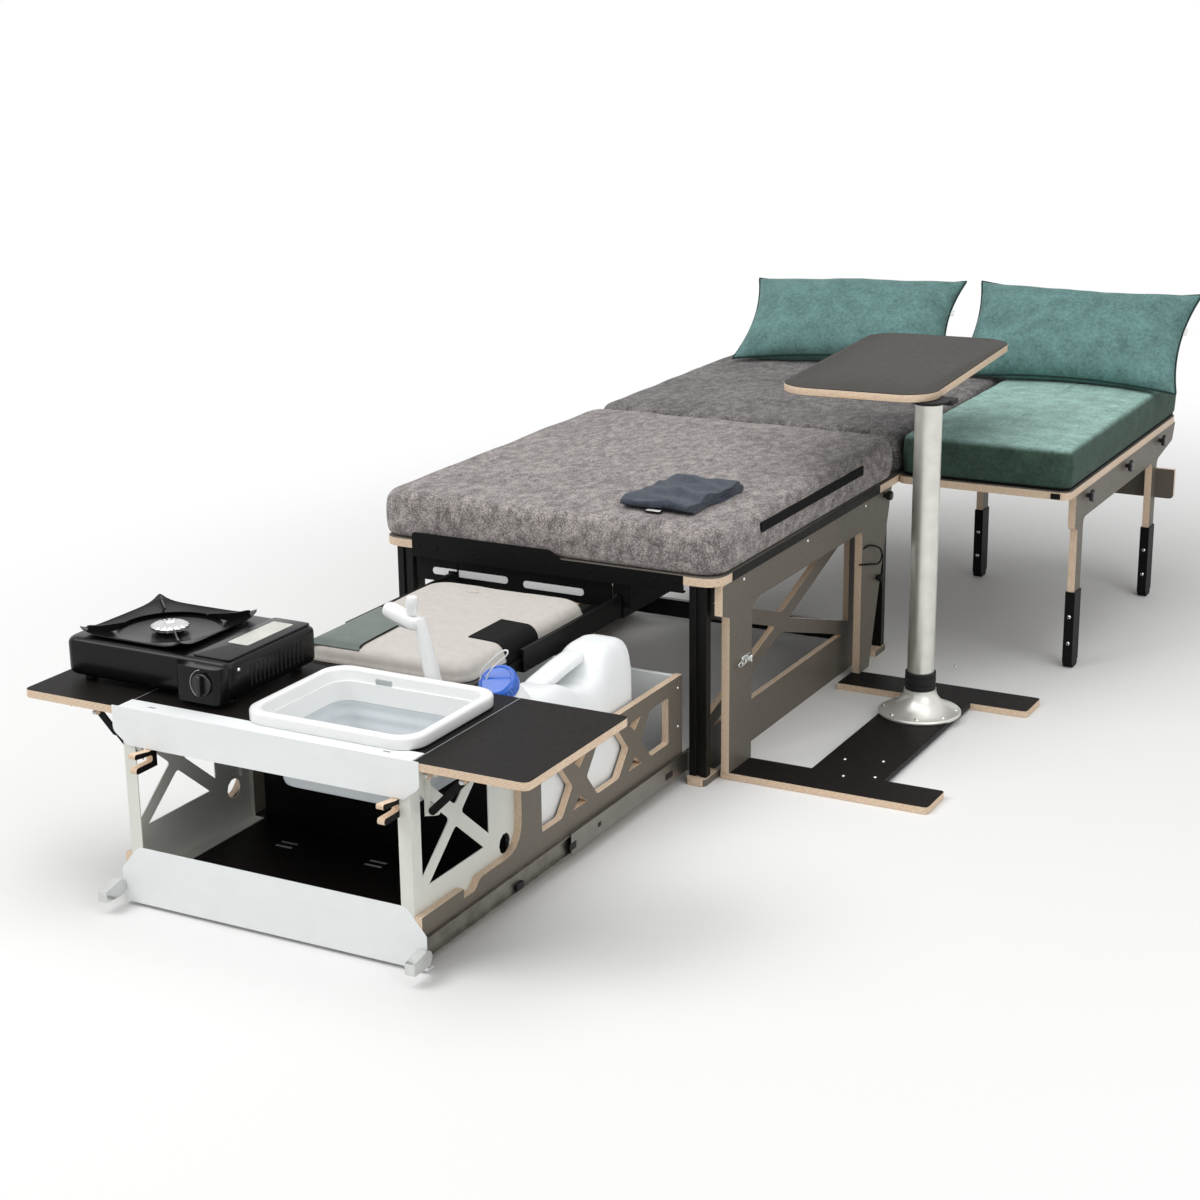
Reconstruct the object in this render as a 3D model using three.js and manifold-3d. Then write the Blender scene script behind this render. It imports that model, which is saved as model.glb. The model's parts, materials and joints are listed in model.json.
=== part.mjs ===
// Van camping box: a plywood and aluminium bed box with a pull-out kitchen,
// an upper pull-out tray, a side bed extension on legs and a pedestal table.
// Millimetres, +Z up. X runs across the bed, Y from the kitchen to the pillows.
// Every outline below is laid out with X = 0 on the middle of the box, Y = 0 on
// the front faces of its posts and Z = 0 on the floor.

import * as THREE from 'three';
import { mergeVertices } from 'three/addons/utils/BufferGeometryUtils.js';
import Module from 'manifold-3d';

const wasm = await Module();
wasm.setup();

// General
const seat = 0.3;
const overrun = 5;
const weldTolerance = 0.0001;
const curveSteps = 5;
const circleSteps = 24;
const lesserRoundShare = 1 / 3;
const ringRoundLimit = 2.2;

// Box: posts, side panels, rear frame, decks and front fascia
const boxWidth = 748;
const boxDepth = 1015;
const bedLength = 1998;
const deckReach = 31;
const deckOverhang = 13;
const deckTop = 450;
const deckThick = 18;
const deckCornerRadius = 48;
const deckBirchCorner = 78;
const postWidth = 40;
const postDepth = 20;
const postGrooveWidth = 8;
const postGrooveDepth = 5;
const footThick = 15;
const footMargin = 3;
const footDepth = 76;
const footNoseRadius = 14;
const panelThick = 15;
const panelSkirtHeight = 98;
const panelRailHeight = 62;
const panelStile = 52;
const panelArmWidth = 46;
const panelCrossHeight = 229;
const panelTailStiles = 3;
const panelSpreadShare = 1.6;
const rearBeamHeight = 60;
const rearTieHeight = 45;
const fasciaThick = 3;
const fasciaDrop = 18;
const fasciaReturn = 9;
const fasciaLipRise = 18;
const fasciaLipSlope = 25;
const fasciaLipRound = 9;
const fasciaLipEndShare = 0.05;

// Side frame under the right edge of the box deck
const frameThick = 18;
const frameRailHeight = 68;
const frameFrontSetback = 10;
const frameStep = 34;
const frameStepDrop = 64;
const frameLegWidth = 112;
const frameRearLegTop = 186;
const frameRearLegBottom = 62;
const frameRearEnd = 961;
const frameCornerRadius = 40;
const frameRearTaper = 34;

// Side bed extension
const sideDeckWidth = 422;
const sideDeckFront = 994;
const sideFrameFront = 1055;
const sideFrameStep = 22;
const sideRearLeg = 1745;
const legWidth = 45;
const braceLength = 168;
const braceHeight = 78;
const braceThick = 12;
const braceBottom = 262;
const braceInboard = 120;
const centreLegInset = 37;
const centreLegY = 1733;
const legPadLength = 90;
const legPadThick = 12;

// Leg sleeves and feet
const sleeveTop = 190;
const sleeveBottom = 13;
const sleeveWall = 2.5;
const sleeveLip = 8;
const shoeHeight = 15;
const shoeLength = 40;
const shoeNoseRadius = 9;

// Mattresses, side cushion, pillows and folded towel
const mattressThick = 98;
const mattressInset = 4;
const mattressSplit = 1000;
const mattressGap = 5;
const mattressCornerRadius = 45;
const mattressEdgeRadius = 20;
const mattressCrown = 7;
const mattressDrawIn = 4;
const cushionInset = 4;
const crownReachShare = 0.92;
const crownCornerShare = 1 / 6;
const pillowWidth = 630;
const pillowHeight = 278;
const pillowThick = 130;
const pillowPinch = 14;
const pillowPinchPower = 3;
const pillowPlumpPower = 2.6;
const pillowPlumpShare = 0.6;
const pillowSeamShare = 1 / 12;
const pillowTurnDeg = 1.6;
const pillowLeanDeg = 32;
const pillowFoot = 1715;
const pillowSettle = 3;
const pillowLeftX = -52;
const pillowRightX = 592;
const towelWidth = 165;
const towelLength = 250;
const towelThick = 24;
const towelSideStep = 187;
const towelY = 228;

// Pedestal table
const tableArmWidth = 104;
const tableArmFrontY = 48;
const tableArmRearY = 690;
const tableArmTuck = 3;
const tableArmLength = 458;
const tablePlateStep = 164;
const tablePlateWidth = 162;
const tablePlateThick = 10;
const tableArmTipRadius = 10;
const pedestalStep = 243;
const pedestalY = 583;
const coneFootRadius = 93;
const coneRimHeight = 5;
const coneHeight = 84;
const coneFlareShares = [[0.86, 0.12], [0.66, 0.28], [0.5, 0.5], [0.415, 0.78]];
const coneNeckRadius = 34.5;
const coneBoreDepth = 60;
const tubeRadius = 30;
const tubeWall = 2;
const tubeTop = 726;
const collarHeight = 40;
const socketRadius = 33.5;
const socketHeight = 26;
const socketFlangeRadius = 62;
const socketFlangeThick = 5;
const tableTopThick = 18;
const tableTopLength = 735;
const tableTopWidth = 350;
const tableTopRadius = 75;
const tableTopShiftX = -179;
const tableTopShiftY = 297;
const tableTurnDeg = 4;

// Drawer slides
const slideHeight = 45;
const slideBottom = 26;
const slideThick = 12.7;
const slideLength = 990;
const slideWall = 1.5;
const slideGap = 0.5;
const slideOuterShare = 0.6;
const slideMiddleShare = 0.55;
const slideMiddleReach = 505;

// Kitchen drawer
const kitchenReach = 1012;
const kitchenTail = 6;
const drawerPly = 15;
const drawerBottom = 24;
const drawerLowTop = 103;
const drawerHighTop = 238;
const drawerRiseStep = 342;
const drawerRiseRadius = 60;
const notchStep = 137;
const notchLength = 56;
const notchDepth = 18;
const trussBandHeight = 32;
const trussLow = 106;
const trussFrontStep = 58;
const trussRear = 70;
const trussCrossingShares = [0.28, 0.715];
const trussLean = 42;
const trussTip = 28;
const trussRound = 7;
const floorBottom = 34;
const floorThick = 12;
const backThick = 12;
const backDrop = 3.2;
const sheet = 2;
const housingLength = 357;
const housingFlange = 26;
const housingFootFlange = 30;
const housingBayFront = 30;
const housingBayRear = 106;
const housingBayLow = 143;
const housingBayHigh = 334;
const housingBar = 19;
const housingHoleRadius = 20;
const housingChannelWidth = 34;
const housingChannelDepth = 10;
const skirtReach = 9;
const skirtBottom = 7;
const skirtTop = 119;
const skirtCornerRun = 40;
const skirtCornerDrop = 48;
const skirtReturn = 22;
const railReach = 5;
const railTop = 388;
const railBottom = 316;
const railCornerRun = 32;
const railCornerDrop = 24;
const railShelf = 42;
const railSlotLength = 16;
const railSlotWidth = 5;
const railSlotInset = 62;
const counterInset = 9;
const counterPly = 15;
const wingWidth = 222;
const wingCornerRadius = 16;
const leverLength = 42;
const leverHeight = 30;
const leverWidth = 20;
const leverZ = 24;
const leverTaperShare = 0.7;

// Wing brackets
const hingeReach = 1;
const hingeZ = 354;
const linkArm = 70;
const linkWidth = 14;
const linkThick = 4;
const linkGap = 0.6;
const bracketStep = 32;
const armLength = 178;
const armHeight = 13;
const knuckleRadius = 9;
const knuckleTopShare = 0.6;
const bracketLayers = 4;
const bracketPlateReach = 27;

// Folding basin and tap
const basinWidth = 344;
const basinDepth = 298;
const basinRimTop = 411;
const basinRimWidth = 18;
const basinRimEdge = 6;
const basinWall = 3;
const basinBottom = 262;
const basinTaper = 46;
const basinFolds = 3;
const basinFoldStep = 5;
const basinCornerRadius = 42;
const basinSideGap = 8;
const basinStep = 176;
const tapSideStep = 6;
const tapBehindBasin = 22;
const tapFootRadius = 15;
const tapFootHeight = 10;
const tapStemWidth = 22;
const tapHeight = 132;
const tapLean = 34;
const tapHeadReach = 62;
const tapHeadRise = 10;
const tapHeadHeight = 20;
const tapHeadWidthShare = 1.3;
const tapCrownWidth = 16;
const tapCrownHeight = 30;

// Gas stove
const stoveWidth = 370;
const stoveDepth = 270;
const stoveBodyHeight = 72;
const stoveFootHeight = 12;
const stoveFootRadius = 11;
const stoveBasinGap = 74;
const stoveStep = 217;
const stoveCornerRadius = 16;
const stoveEdgeRadius = 6;
const burnerSideStep = 52;
const burnerFrontStep = 5;
const dripPanRadius = 104;
const dripPanDepth = 8;
const dripPanFloorShare = 0.8;
const burnerRadius = 36;
const burnerHeight = 16;
const burnerFootShare = 0.7;
const burnerRimShare = 0.8;
const stovePanelWidth = 106;
const stovePanelDepth = 28;
const stovePanelMargin = 6;
const stoveKnobRadius = 21;
const stoveKnobLength = 16;
const knobGripShare = 0.8;
const knobBarShare = 0.25;
const panSupportSize = 234;
const panSupportRim = 12;
const panSupportSheet = 3;
const panFingerLength = 96;
const panFingerHeight = 17;
const panFingerThick = 3;
const supportRoundShare = 0.8;
const fingerTopShare = 0.8;
const fingerFootShare = 0.7;

// Water canister
const canisterSideGap = 4;
const canisterWidth = 122;
const canisterStep = 50;
const canisterTail = 175;
const canisterTop = 374;
const canisterShoulder = 352;
const canisterNose = 42;
const canisterHump = 130;
const canisterHumpSlope = 34;
const canisterCornerRadius = 30;
const handleBar = 24;
const handleReach = 118;
const handleDepth = 46;
const capRadius = 34;
const capLength = 26;
const capRimShare = 0.8;
const capTopShare = 0.9;
const capTiltDeg = 38;
const neckRadius = 28;
const neckLength = 30;
const neckStep = 31;
const neckZ = 346;

// Upper pull-out tray
const trayLeftInset = 76;
const trayCanisterGap = 15;
const trayStep = 65;
const trayTail = 85;
const trayBottom = 341;
const trayWallTop = 362;
const traySheet = 2;
const runnerWidth = 9;
const runnerFront = -400;
const runnerLength = 650;
const runnerTop = 384;
const runnerLip = 16;
const runnerBar = 30;
const runnerSheet = 3;
const trackFront = 10;
const trackThick = 3;
const trackLip = 13;
const bagEndGap = 8.5;
const bagTop = 400;
const bagEdgeRadius = 44;
const bagRimShare = 0.55;
const bagSideGap = 12;

// Sizes that follow
const boxHalf = boxWidth / 2;
const postInner = boxHalf - postWidth;
const deckBottom = deckTop - deckThick;
const deckRear = bedLength - deckOverhang;
const deckJoint = boxDepth - postDepth / 2;
const legBottom = shoeHeight + sleeveWall + seat;
const drawerHalf = postInner - slideThick - seat;
const drawerInner = drawerHalf - drawerPly;
const floorTop = floorBottom + floorThick;
const panelOuter = postInner + panelThick;
const deckWidth = boxWidth + 2 * deckReach;
const centreLegX = deckWidth / 2 - centreLegInset;
const tableArmInner = deckWidth / 2 - frameThick - tableArmTuck;
const tableArmOuter = tableArmInner + tableArmLength;
const tablePlateLeft = tableArmInner + tablePlateStep;
const pedestalX = tableArmInner + pedestalStep;
const tableTopX = pedestalX + tableTopShiftX;
const tableTopY = pedestalY + tableTopShiftY;
const skirtWidth = 2 * (drawerHalf + skirtReach);
const railWidth = 2 * (drawerHalf + railReach);
const counterWidth = 2 * (drawerHalf - counterInset);
const hingeX = drawerHalf + hingeReach;
const drawerRise = kitchenReach - drawerRiseStep;
const notchFront = kitchenReach - notchStep;
const notchRear = notchFront - notchLength;
const housingTail = kitchenReach - housingLength;
const trussFront = housingTail - trussFrontStep;
const bracketFrontY = bracketStep - kitchenReach;
const basinY = basinStep - kitchenReach;
const stoveY = stoveStep - kitchenReach;
const canisterFront = canisterStep - housingTail;
const canisterLength = -canisterFront - canisterTail;
const trayFront = trayStep - housingTail;
const trayLength = -trayFront - trayTail;
const bagLength = trayLength - 2 * bagEndGap;
const canisterX = drawerInner - canisterSideGap - canisterWidth / 2;
const neckY = canisterFront + neckStep;
const basinX = drawerInner - basinSideGap - basinWidth / 2;
const tapX = basinX + tapSideStep;
const tapY = basinY + basinDepth / 2 + tapBehindBasin;
const stoveX = basinX - basinWidth / 2 - stoveBasinGap - stoveWidth / 2;
const burnerX = stoveX - burnerSideStep;
const burnerY = stoveY - burnerFrontStep;
const trayLeft = trayLeftInset - drawerInner;
const trayRight = canisterX - canisterWidth / 2 - trayCanisterGap;
const leverPivotY = -kitchenReach - 2 * seat - sheet - leverHeight / 2;
const sideDeckLeft = deckWidth / 2 + seat;
const sideDeckRight = sideDeckLeft + sideDeckWidth;
const counterTop = railTop - sheet - seat;
const counterBottom = counterTop - counterPly;
const housingTop = counterBottom - seat;
const runnerLeft = trayLeft - seat - runnerWidth;
const runnerRight = trayRight + seat + runnerWidth;
const trackLeft = runnerLeft - seat - trackThick;
const trackRight = runnerRight + seat + trackThick;
const runnerLipTop = trayBottom - seat;
const trackLipTop = runnerLipTop - runnerSheet - seat;

// Materials
const greyPly = { color: 0x77736e, roughness: 0.55, metalness: 0 };
const blackFilm = { color: 0x17161a, roughness: 0.45, metalness: 0 };
const blackMetal = { color: 0x121314, roughness: 0.4, metalness: 0.6 };
const whiteSteel = { color: 0xe6e9e8, roughness: 0.45, metalness: 0.1 };
const slideSteel = { color: 0xa9aaa6, roughness: 0.3, metalness: 0.9 };
const castAluminium = { color: 0xb9bbbb, roughness: 0.35, metalness: 0.9 };
const greyVelour = { color: 0x77706f, roughness: 0.95, metalness: 0 };
const greenVelvet = { color: 0x4f8078, roughness: 0.9, metalness: 0 };
const navyCotton = { color: 0x333a4c, roughness: 0.95, metalness: 0 };
const whitePlastic = { color: 0xf0f0ee, roughness: 0.35, metalness: 0 };
const milkyPlastic = { color: 0xe9eef0, roughness: 0.3, metalness: 0 };
const bluePlastic = { color: 0x0d64c8, roughness: 0.3, metalness: 0 };
const enamel = { color: 0x141416, roughness: 0.3, metalness: 0.2 };
const canvas = { color: 0xc3bbac, roughness: 0.95, metalness: 0 };

const model = new THREE.Group();

// Solids and outlines

function weld(geometry) {
  const bare = geometry.clone();
  bare.deleteAttribute('normal');
  bare.deleteAttribute('uv');
  return mergeVertices(bare, weldTolerance);
}

function solid(geometry) {
  const merged = weld(geometry);
  return new wasm.Manifold(new wasm.Mesh({
    numProp: 3,
    vertProperties: new Float32Array(merged.attributes.position.array),
    triVerts: new Uint32Array(merged.index.array),
  }));
}

function surface(body) {
  const mesh = body.getMesh();
  const geometry = new THREE.BufferGeometry();
  geometry.setAttribute('position', new THREE.BufferAttribute(new Float32Array(mesh.vertProperties), 3));
  geometry.setIndex(new THREE.BufferAttribute(new Uint32Array(mesh.triVerts), 1));
  geometry.computeVertexNormals();
  return geometry;
}

function join(bodies) {
  return bodies.reduce((sum, body) => sum.add(body));
}

function add(name, shape, look) {
  const geometry = shape.isBufferGeometry ? weld(shape) : surface(shape);
  geometry.computeVertexNormals();
  const mesh = new THREE.Mesh(geometry, new THREE.MeshStandardMaterial(look));
  mesh.name = name;
  model.add(mesh);
  return mesh;
}

// A closed outline through points [u, v, radius]; a radius rounds that corner.
function outline(points) {
  const path = new THREE.Shape();
  const count = points.length;
  points.forEach(([u, v, radius = 0], index) => {
    const here = new THREE.Vector2(u, v);
    const before = new THREE.Vector2(...points[(index + count - 1) % count]);
    const after = new THREE.Vector2(...points[(index + 1) % count]);
    const start = here.clone().add(before.sub(here).setLength(radius));
    const end = here.clone().add(after.sub(here).setLength(radius));
    if (index === 0) path.moveTo(start.x, start.y);
    else path.lineTo(start.x, start.y);
    if (radius > 0) path.quadraticCurveTo(here.x, here.y, end.x, end.y);
  });
  path.closePath();
  return path;
}

function rectangle(u0, u1, v0, v1, radius = 0) {
  return outline([[u0, v0, radius], [u1, v0, radius], [u1, v1, radius], [u0, v1, radius]]);
}

function extrude(shape, depth) {
  return new THREE.ExtrudeGeometry(shape, { depth, bevelEnabled: false, curveSegments: curveSteps });
}

const acrossX = new THREE.Matrix4().makeBasis(
  new THREE.Vector3(0, 1, 0),
  new THREE.Vector3(0, 0, 1),
  new THREE.Vector3(1, 0, 0),
);

// Sheets: drawn in X,Y and rising in Z; in Y,Z and running in X; in X,Z and running in Y.
function flatSheet(shape, bottom, top) {
  return extrude(shape, top - bottom).translate(0, 0, bottom);
}

function sideSheet(shape, x0, x1) {
  return extrude(shape, x1 - x0).applyMatrix4(acrossX).translate(x0, 0, 0);
}

function frontSheet(shape, y0, y1) {
  return extrude(shape, y1 - y0).rotateX(Math.PI / 2).translate(0, y1, 0);
}

// The same sheet with holes right through it.
function pierced(sheetOf, shape, holes, from, to) {
  const cuts = holes.map((hole) => solid(sheetOf(hole, from - overrun, to + overrun)));
  return solid(sheetOf(shape, from, to)).subtract(join(cuts));
}

function block(x0, x1, y0, y1, z0, z1) {
  return flatSheet(rectangle(Math.min(x0, x1), Math.max(x0, x1), y0, y1), z0, z1);
}

function lathe(profile) {
  const points = profile.map(([radius, height]) => new THREE.Vector2(radius, height));
  return new THREE.LatheGeometry(points, circleSteps).rotateX(Math.PI / 2);
}

function mirrored(side, a, b) {
  return side > 0 ? [a, b] : [-b, -a];
}

function sideName(side) {
  return side > 0 ? 'right' : 'left';
}

// Box

function post(side, front) {
  const [x0, x1] = mirrored(side, postInner, boxHalf);
  const y0 = front ? 0 : boxDepth - postDepth;
  const middle = (x0 + x1) / 2;
  const face = front ? y0 : y0 + postDepth;
  const inward = front ? postGrooveDepth : -postGrooveDepth;
  const section = outline([
    [x0, y0 + postDepth - (face - y0)],
    [x0, face],
    [middle - postGrooveWidth / 2, face],
    [middle - postGrooveWidth / 2, face + inward],
    [middle + postGrooveWidth / 2, face + inward],
    [middle + postGrooveWidth / 2, face],
    [x1, face],
    [x1, y0 + postDepth - (face - y0)],
  ]);
  return flatSheet(section, footThick + seat, deckBottom - seat);
}

function rearFrame() {
  const y0 = boxDepth - postDepth;
  const inside = postInner + overrun;
  const beamTop = deckBottom - seat;
  const y1 = boxDepth - postGrooveDepth;
  return join([
    solid(post(-1, false)),
    solid(post(1, false)),
    solid(block(-inside, inside, y0, y1, beamTop - rearBeamHeight, beamTop)),
    solid(block(-inside, inside, y0, y1, footThick + seat, footThick + rearTieHeight)),
  ]);
}

// The panel stands between the posts with an X of two arms over a low skirt.
function sidePanel(side) {
  const [x0, x1] = mirrored(side, postInner + seat, panelOuter);
  const front = postDepth + seat;
  const rear = boxDepth - postDepth - seat;
  const top = deckBottom - seat;
  const bay0 = front + panelStile / 2;
  const bay1 = rear - panelTailStiles * panelStile;
  const low = panelSkirtHeight;
  const high = top - panelRailHeight;
  const midY = (bay0 + bay1) / 2;
  const half = panelArmWidth / 2;
  const spread = half * panelSpreadShare;
  const round = panelArmWidth * lesserRoundShare;
  const board = rectangle(front, rear, 0, top);
  const holes = [
    outline([[bay0, low + half, 0], [bay0, high - half, 0], [midY - spread, panelCrossHeight, round]]),
    outline([[bay1, low + half, 0], [bay1, high - half, 0], [midY + spread, panelCrossHeight, round]]),
    outline([[bay0 + spread, low, 0], [bay1 - spread, low, 0], [midY, panelCrossHeight - half, round]]),
    outline([[bay0 + spread, high, 0], [bay1 - spread, high, 0], [midY, panelCrossHeight + half, round]]),
    outline([[bay1 + panelStile, low, round], [rear - panelStile, low, round],
      [rear - panelStile, high, round], [bay1 + panelStile, high, round]]),
  ];
  const [f0, f1] = mirrored(side, postInner - footMargin, boxHalf + footMargin);
  const nose = footNoseRadius;
  const feet = [deckOverhang + footMargin - footDepth, boxDepth + deckOverhang].map((end, index) => {
    const y0 = index === 0 ? -deckOverhang - footMargin : end - footDepth;
    const radii = index === 0 ? [nose, nose, 0, 0] : [0, 0, nose, nose];
    const plan = outline([[f0, y0, radii[0]], [f1, y0, radii[1]],
      [f1, y0 + footDepth, radii[2]], [f0, y0 + footDepth, radii[3]]]);
    return solid(flatSheet(plan, 0, footThick));
  });
  return join([pierced(sideSheet, board, holes, x0, x1), ...feet]);
}

// Bent steel strip over the deck's front edge, with a lip that holds the mattress.
function frontFascia() {
  const half = deckWidth / 2 - deckBirchCorner - seat;
  const bottom = deckBottom - fasciaDrop;
  const lipTop = deckTop + fasciaLipRise;
  const lipEnd = half * fasciaLipEndShare;
  const face = outline([
    [-half, bottom, 0],
    [half, bottom, 0],
    [half, deckTop, 0],
    [lipEnd + fasciaLipSlope, deckTop, 0],
    [lipEnd, lipTop, fasciaLipRound],
    [-half, lipTop, fasciaLipRound],
  ]);
  const y0 = -deckOverhang;
  return join([
    solid(frontSheet(face, y0, y0 + fasciaThick)),
    solid(block(-half, half, y0, y0 + fasciaThick + fasciaReturn, bottom, bottom + fasciaThick)),
  ]);
}

function frontDeck() {
  const half = deckWidth / 2;
  const recess = half - deckBirchCorner;
  const y0 = -deckOverhang;
  const y1 = y0 + fasciaThick + seat;
  const plan = outline([
    [-half, y0, deckCornerRadius],
    [-recess, y0, 0],
    [-recess, y1, 0],
    [recess, y1, 0],
    [recess, y0, 0],
    [half, y0, deckCornerRadius],
    [half, deckJoint, 0],
    [-half, deckJoint, 0],
  ]);
  return flatSheet(plan, deckBottom, deckTop);
}

function rearDeck() {
  const half = deckWidth / 2;
  const plan = outline([
    [-half, deckJoint + seat, 0],
    [half, deckJoint + seat, 0],
    [half, deckRear, deckCornerRadius],
    [-half, deckRear, deckCornerRadius],
  ]);
  return flatSheet(plan, deckBottom, deckTop);
}

// Inverted U of grey plywood that carries the right edge of the box deck.
function sideFrame() {
  const top = deckBottom - seat;
  const bottom = footThick + seat;
  const opening = top - frameRailHeight;
  const upperFront = frameFrontSetback;
  const lowerFront = upperFront + frameStep;
  const legBack = lowerFront + frameLegWidth;
  const rearInner = frameRearEnd - frameRearLegTop;
  const rearOuter = rearInner + frameRearLegBottom;
  const face = outline([
    [lowerFront, bottom, 0],
    [legBack, bottom, 0],
    [legBack, opening, frameCornerRadius],
    [rearInner, opening, frameCornerRadius * lesserRoundShare],
    [rearInner, bottom, 0],
    [rearOuter, bottom, 0],
    [frameRearEnd - frameRearTaper, opening - frameCornerRadius, frameCornerRadius],
    [frameRearEnd, top, 0],
    [upperFront, top, 0],
    [upperFront, top - frameStepDrop, 0],
    [lowerFront, top - frameStepDrop - frameStep * lesserRoundShare, 0],
  ]);
  const outer = deckWidth / 2;
  return sideSheet(face, outer - frameThick, outer);
}

// Side extension

function sideDeck() {
  const plan = outline([
    [sideDeckLeft, sideDeckFront, deckCornerRadius / 2],
    [sideDeckRight, sideDeckFront, deckCornerRadius / 2],
    [sideDeckRight, deckRear, deckCornerRadius],
    [sideDeckLeft, deckRear, 0],
  ]);
  return flatSheet(plan, deckBottom, deckTop);
}

// One plywood face with a rail and the two outer legs.
function sideRail() {
  const top = deckBottom - seat;
  const opening = top - frameRailHeight;
  const lower = sideFrameFront + sideFrameStep;
  const rearBack = sideRearLeg + legWidth;
  const face = outline([
    [lower, legBottom, 0],
    [lower + legWidth, legBottom, 0],
    [lower + legWidth, opening, frameCornerRadius / 2],
    [sideRearLeg, opening, frameCornerRadius / 2],
    [sideRearLeg, legBottom, 0],
    [rearBack, legBottom, 0],
    [rearBack, opening, frameCornerRadius / 2],
    [deckRear - legWidth, opening + frameRailHeight * lesserRoundShare, 0],
    [deckRear - sideFrameStep, top, 0],
    [sideFrameFront, top, 0],
    [sideFrameFront, opening - sideFrameStep / 2, 0],
    [lower, opening - sideFrameStep, 0],
  ]);
  return sideSheet(face, sideDeckRight - frameThick, sideDeckRight);
}

function rearBrace() {
  const x0 = sideDeckRight - braceInboard - seat;
  const y0 = sideRearLeg + legWidth + seat;
  const face = outline([
    [x0, braceBottom, 0],
    [x0 + braceLength, braceBottom, braceThick],
    [x0 + braceLength, braceBottom + braceHeight, 0],
    [x0 + braceThick, braceBottom + braceHeight, 0],
  ]);
  return frontSheet(face, y0, y0 + braceThick);
}

// A single plywood leg with a pad against the underside of a deck.
function hangingLeg(x) {
  const x0 = x - frameThick / 2;
  const top = deckBottom - seat;
  const y0 = centreLegY;
  const face = rectangle(y0, y0 + legWidth, legBottom, top);
  return join([
    solid(sideSheet(face, x0, x0 + frameThick)),
    solid(block(x - legPadLength / 2, x + legPadLength / 2, y0, y0 + legWidth, top - legPadThick, top)),
  ]);
}

// Steel channel round the foot of a leg, closed below by a shoe.
function legSleeve(x, y0) {
  const inner = frameThick / 2 + seat;
  const outer = inner + sleeveWall;
  const front = y0 - seat;
  const rear = y0 + legWidth + seat;
  const section = outline([
    [x - outer, front - sleeveWall, 0],
    [x + outer, front - sleeveWall, 0],
    [x + outer, rear + sleeveWall, 0],
    [x + inner - sleeveLip + sleeveWall, rear + sleeveWall, 0],
    [x + inner - sleeveLip + sleeveWall, rear, 0],
    [x + inner, rear, 0],
    [x + inner, front, 0],
    [x - inner, front, 0],
    [x - inner, rear, 0],
    [x - inner + sleeveLip - sleeveWall, rear, 0],
    [x - inner + sleeveLip - sleeveWall, rear + sleeveWall, 0],
    [x - outer, rear + sleeveWall, 0],
  ]);
  const middle = y0 + legWidth / 2;
  const shoe = outline([
    [middle - shoeLength / 2, 0, shoeNoseRadius],
    [middle + shoeLength / 2, 0, shoeNoseRadius],
    [middle + shoeLength / 2, shoeHeight, 0],
    [rear + sleeveWall, shoeHeight, 0],
    [rear + sleeveWall, shoeHeight + sleeveWall, 0],
    [front - sleeveWall, shoeHeight + sleeveWall, 0],
    [front - sleeveWall, shoeHeight, 0],
    [middle - shoeLength / 2, shoeHeight, 0],
  ]);
  return join([
    solid(flatSheet(section, sleeveBottom, sleeveTop)),
    solid(sideSheet(shoe, x - outer, x + outer)),
  ]);
}

// Soft pieces

// A block cushion from rings: sides drawn in at mid-height, a rounded top edge and a crown.
function cushion(x0, x1, y0, y1, z0, form) {
  const { height, corner, edge, crown, drawIn } = form;
  const cornerSteps = 4;
  const sideSteps = 5;
  const crownSteps = 4;
  const foot = edge * lesserRoundShare;
  const ringLevels = [[edge / 2, 0], [0, foot]];
  for (let step = 1; step < sideSteps; step += 1) {
    const share = step / sideSteps;
    ringLevels.push([drawIn * Math.sin(Math.PI * share), foot + (height - edge - foot) * share]);
  }
  for (let step = 0; step <= cornerSteps; step += 1) {
    const angle = (Math.PI / 2) * (step / cornerSteps);
    ringLevels.push([edge * (1 - Math.cos(angle)), height - edge + edge * Math.sin(angle)]);
  }
  const reach = Math.min(x1 - x0, y1 - y0) / 2 - edge;
  for (let step = 1; step < crownSteps; step += 1) {
    const share = step / crownSteps;
    ringLevels.push([edge + reach * crownReachShare * share, height + crown * (1 - (1 - share) ** 2)]);
  }
  const rings = ringLevels.map(([inset, level]) => {
    const round = Math.max(corner - inset, corner * crownCornerShare);
    return roundedRing(x0 + inset, x1 - inset, y0 + inset, y1 - inset, round, z0 + level);
  });
  return stack(rings);
}

// Points round a level rectangle with rounded corners.
function roundedRing(x0, x1, y0, y1, radius, z) {
  const round = Math.min(radius, (x1 - x0) / ringRoundLimit, (y1 - y0) / ringRoundLimit);
  const corners = [[x1 - round, y0 + round, -90], [x1 - round, y1 - round, 0],
    [x0 + round, y1 - round, 90], [x0 + round, y0 + round, 180]];
  const ring = [];
  corners.forEach(([cx, cy, start]) => {
    for (let step = 0; step < curveSteps; step += 1) {
      const angle = THREE.MathUtils.degToRad(start + 90 * (step / (curveSteps - 1)));
      ring.push([cx + round * Math.cos(angle), cy + round * Math.sin(angle), z]);
    }
  });
  return ring;
}

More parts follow.
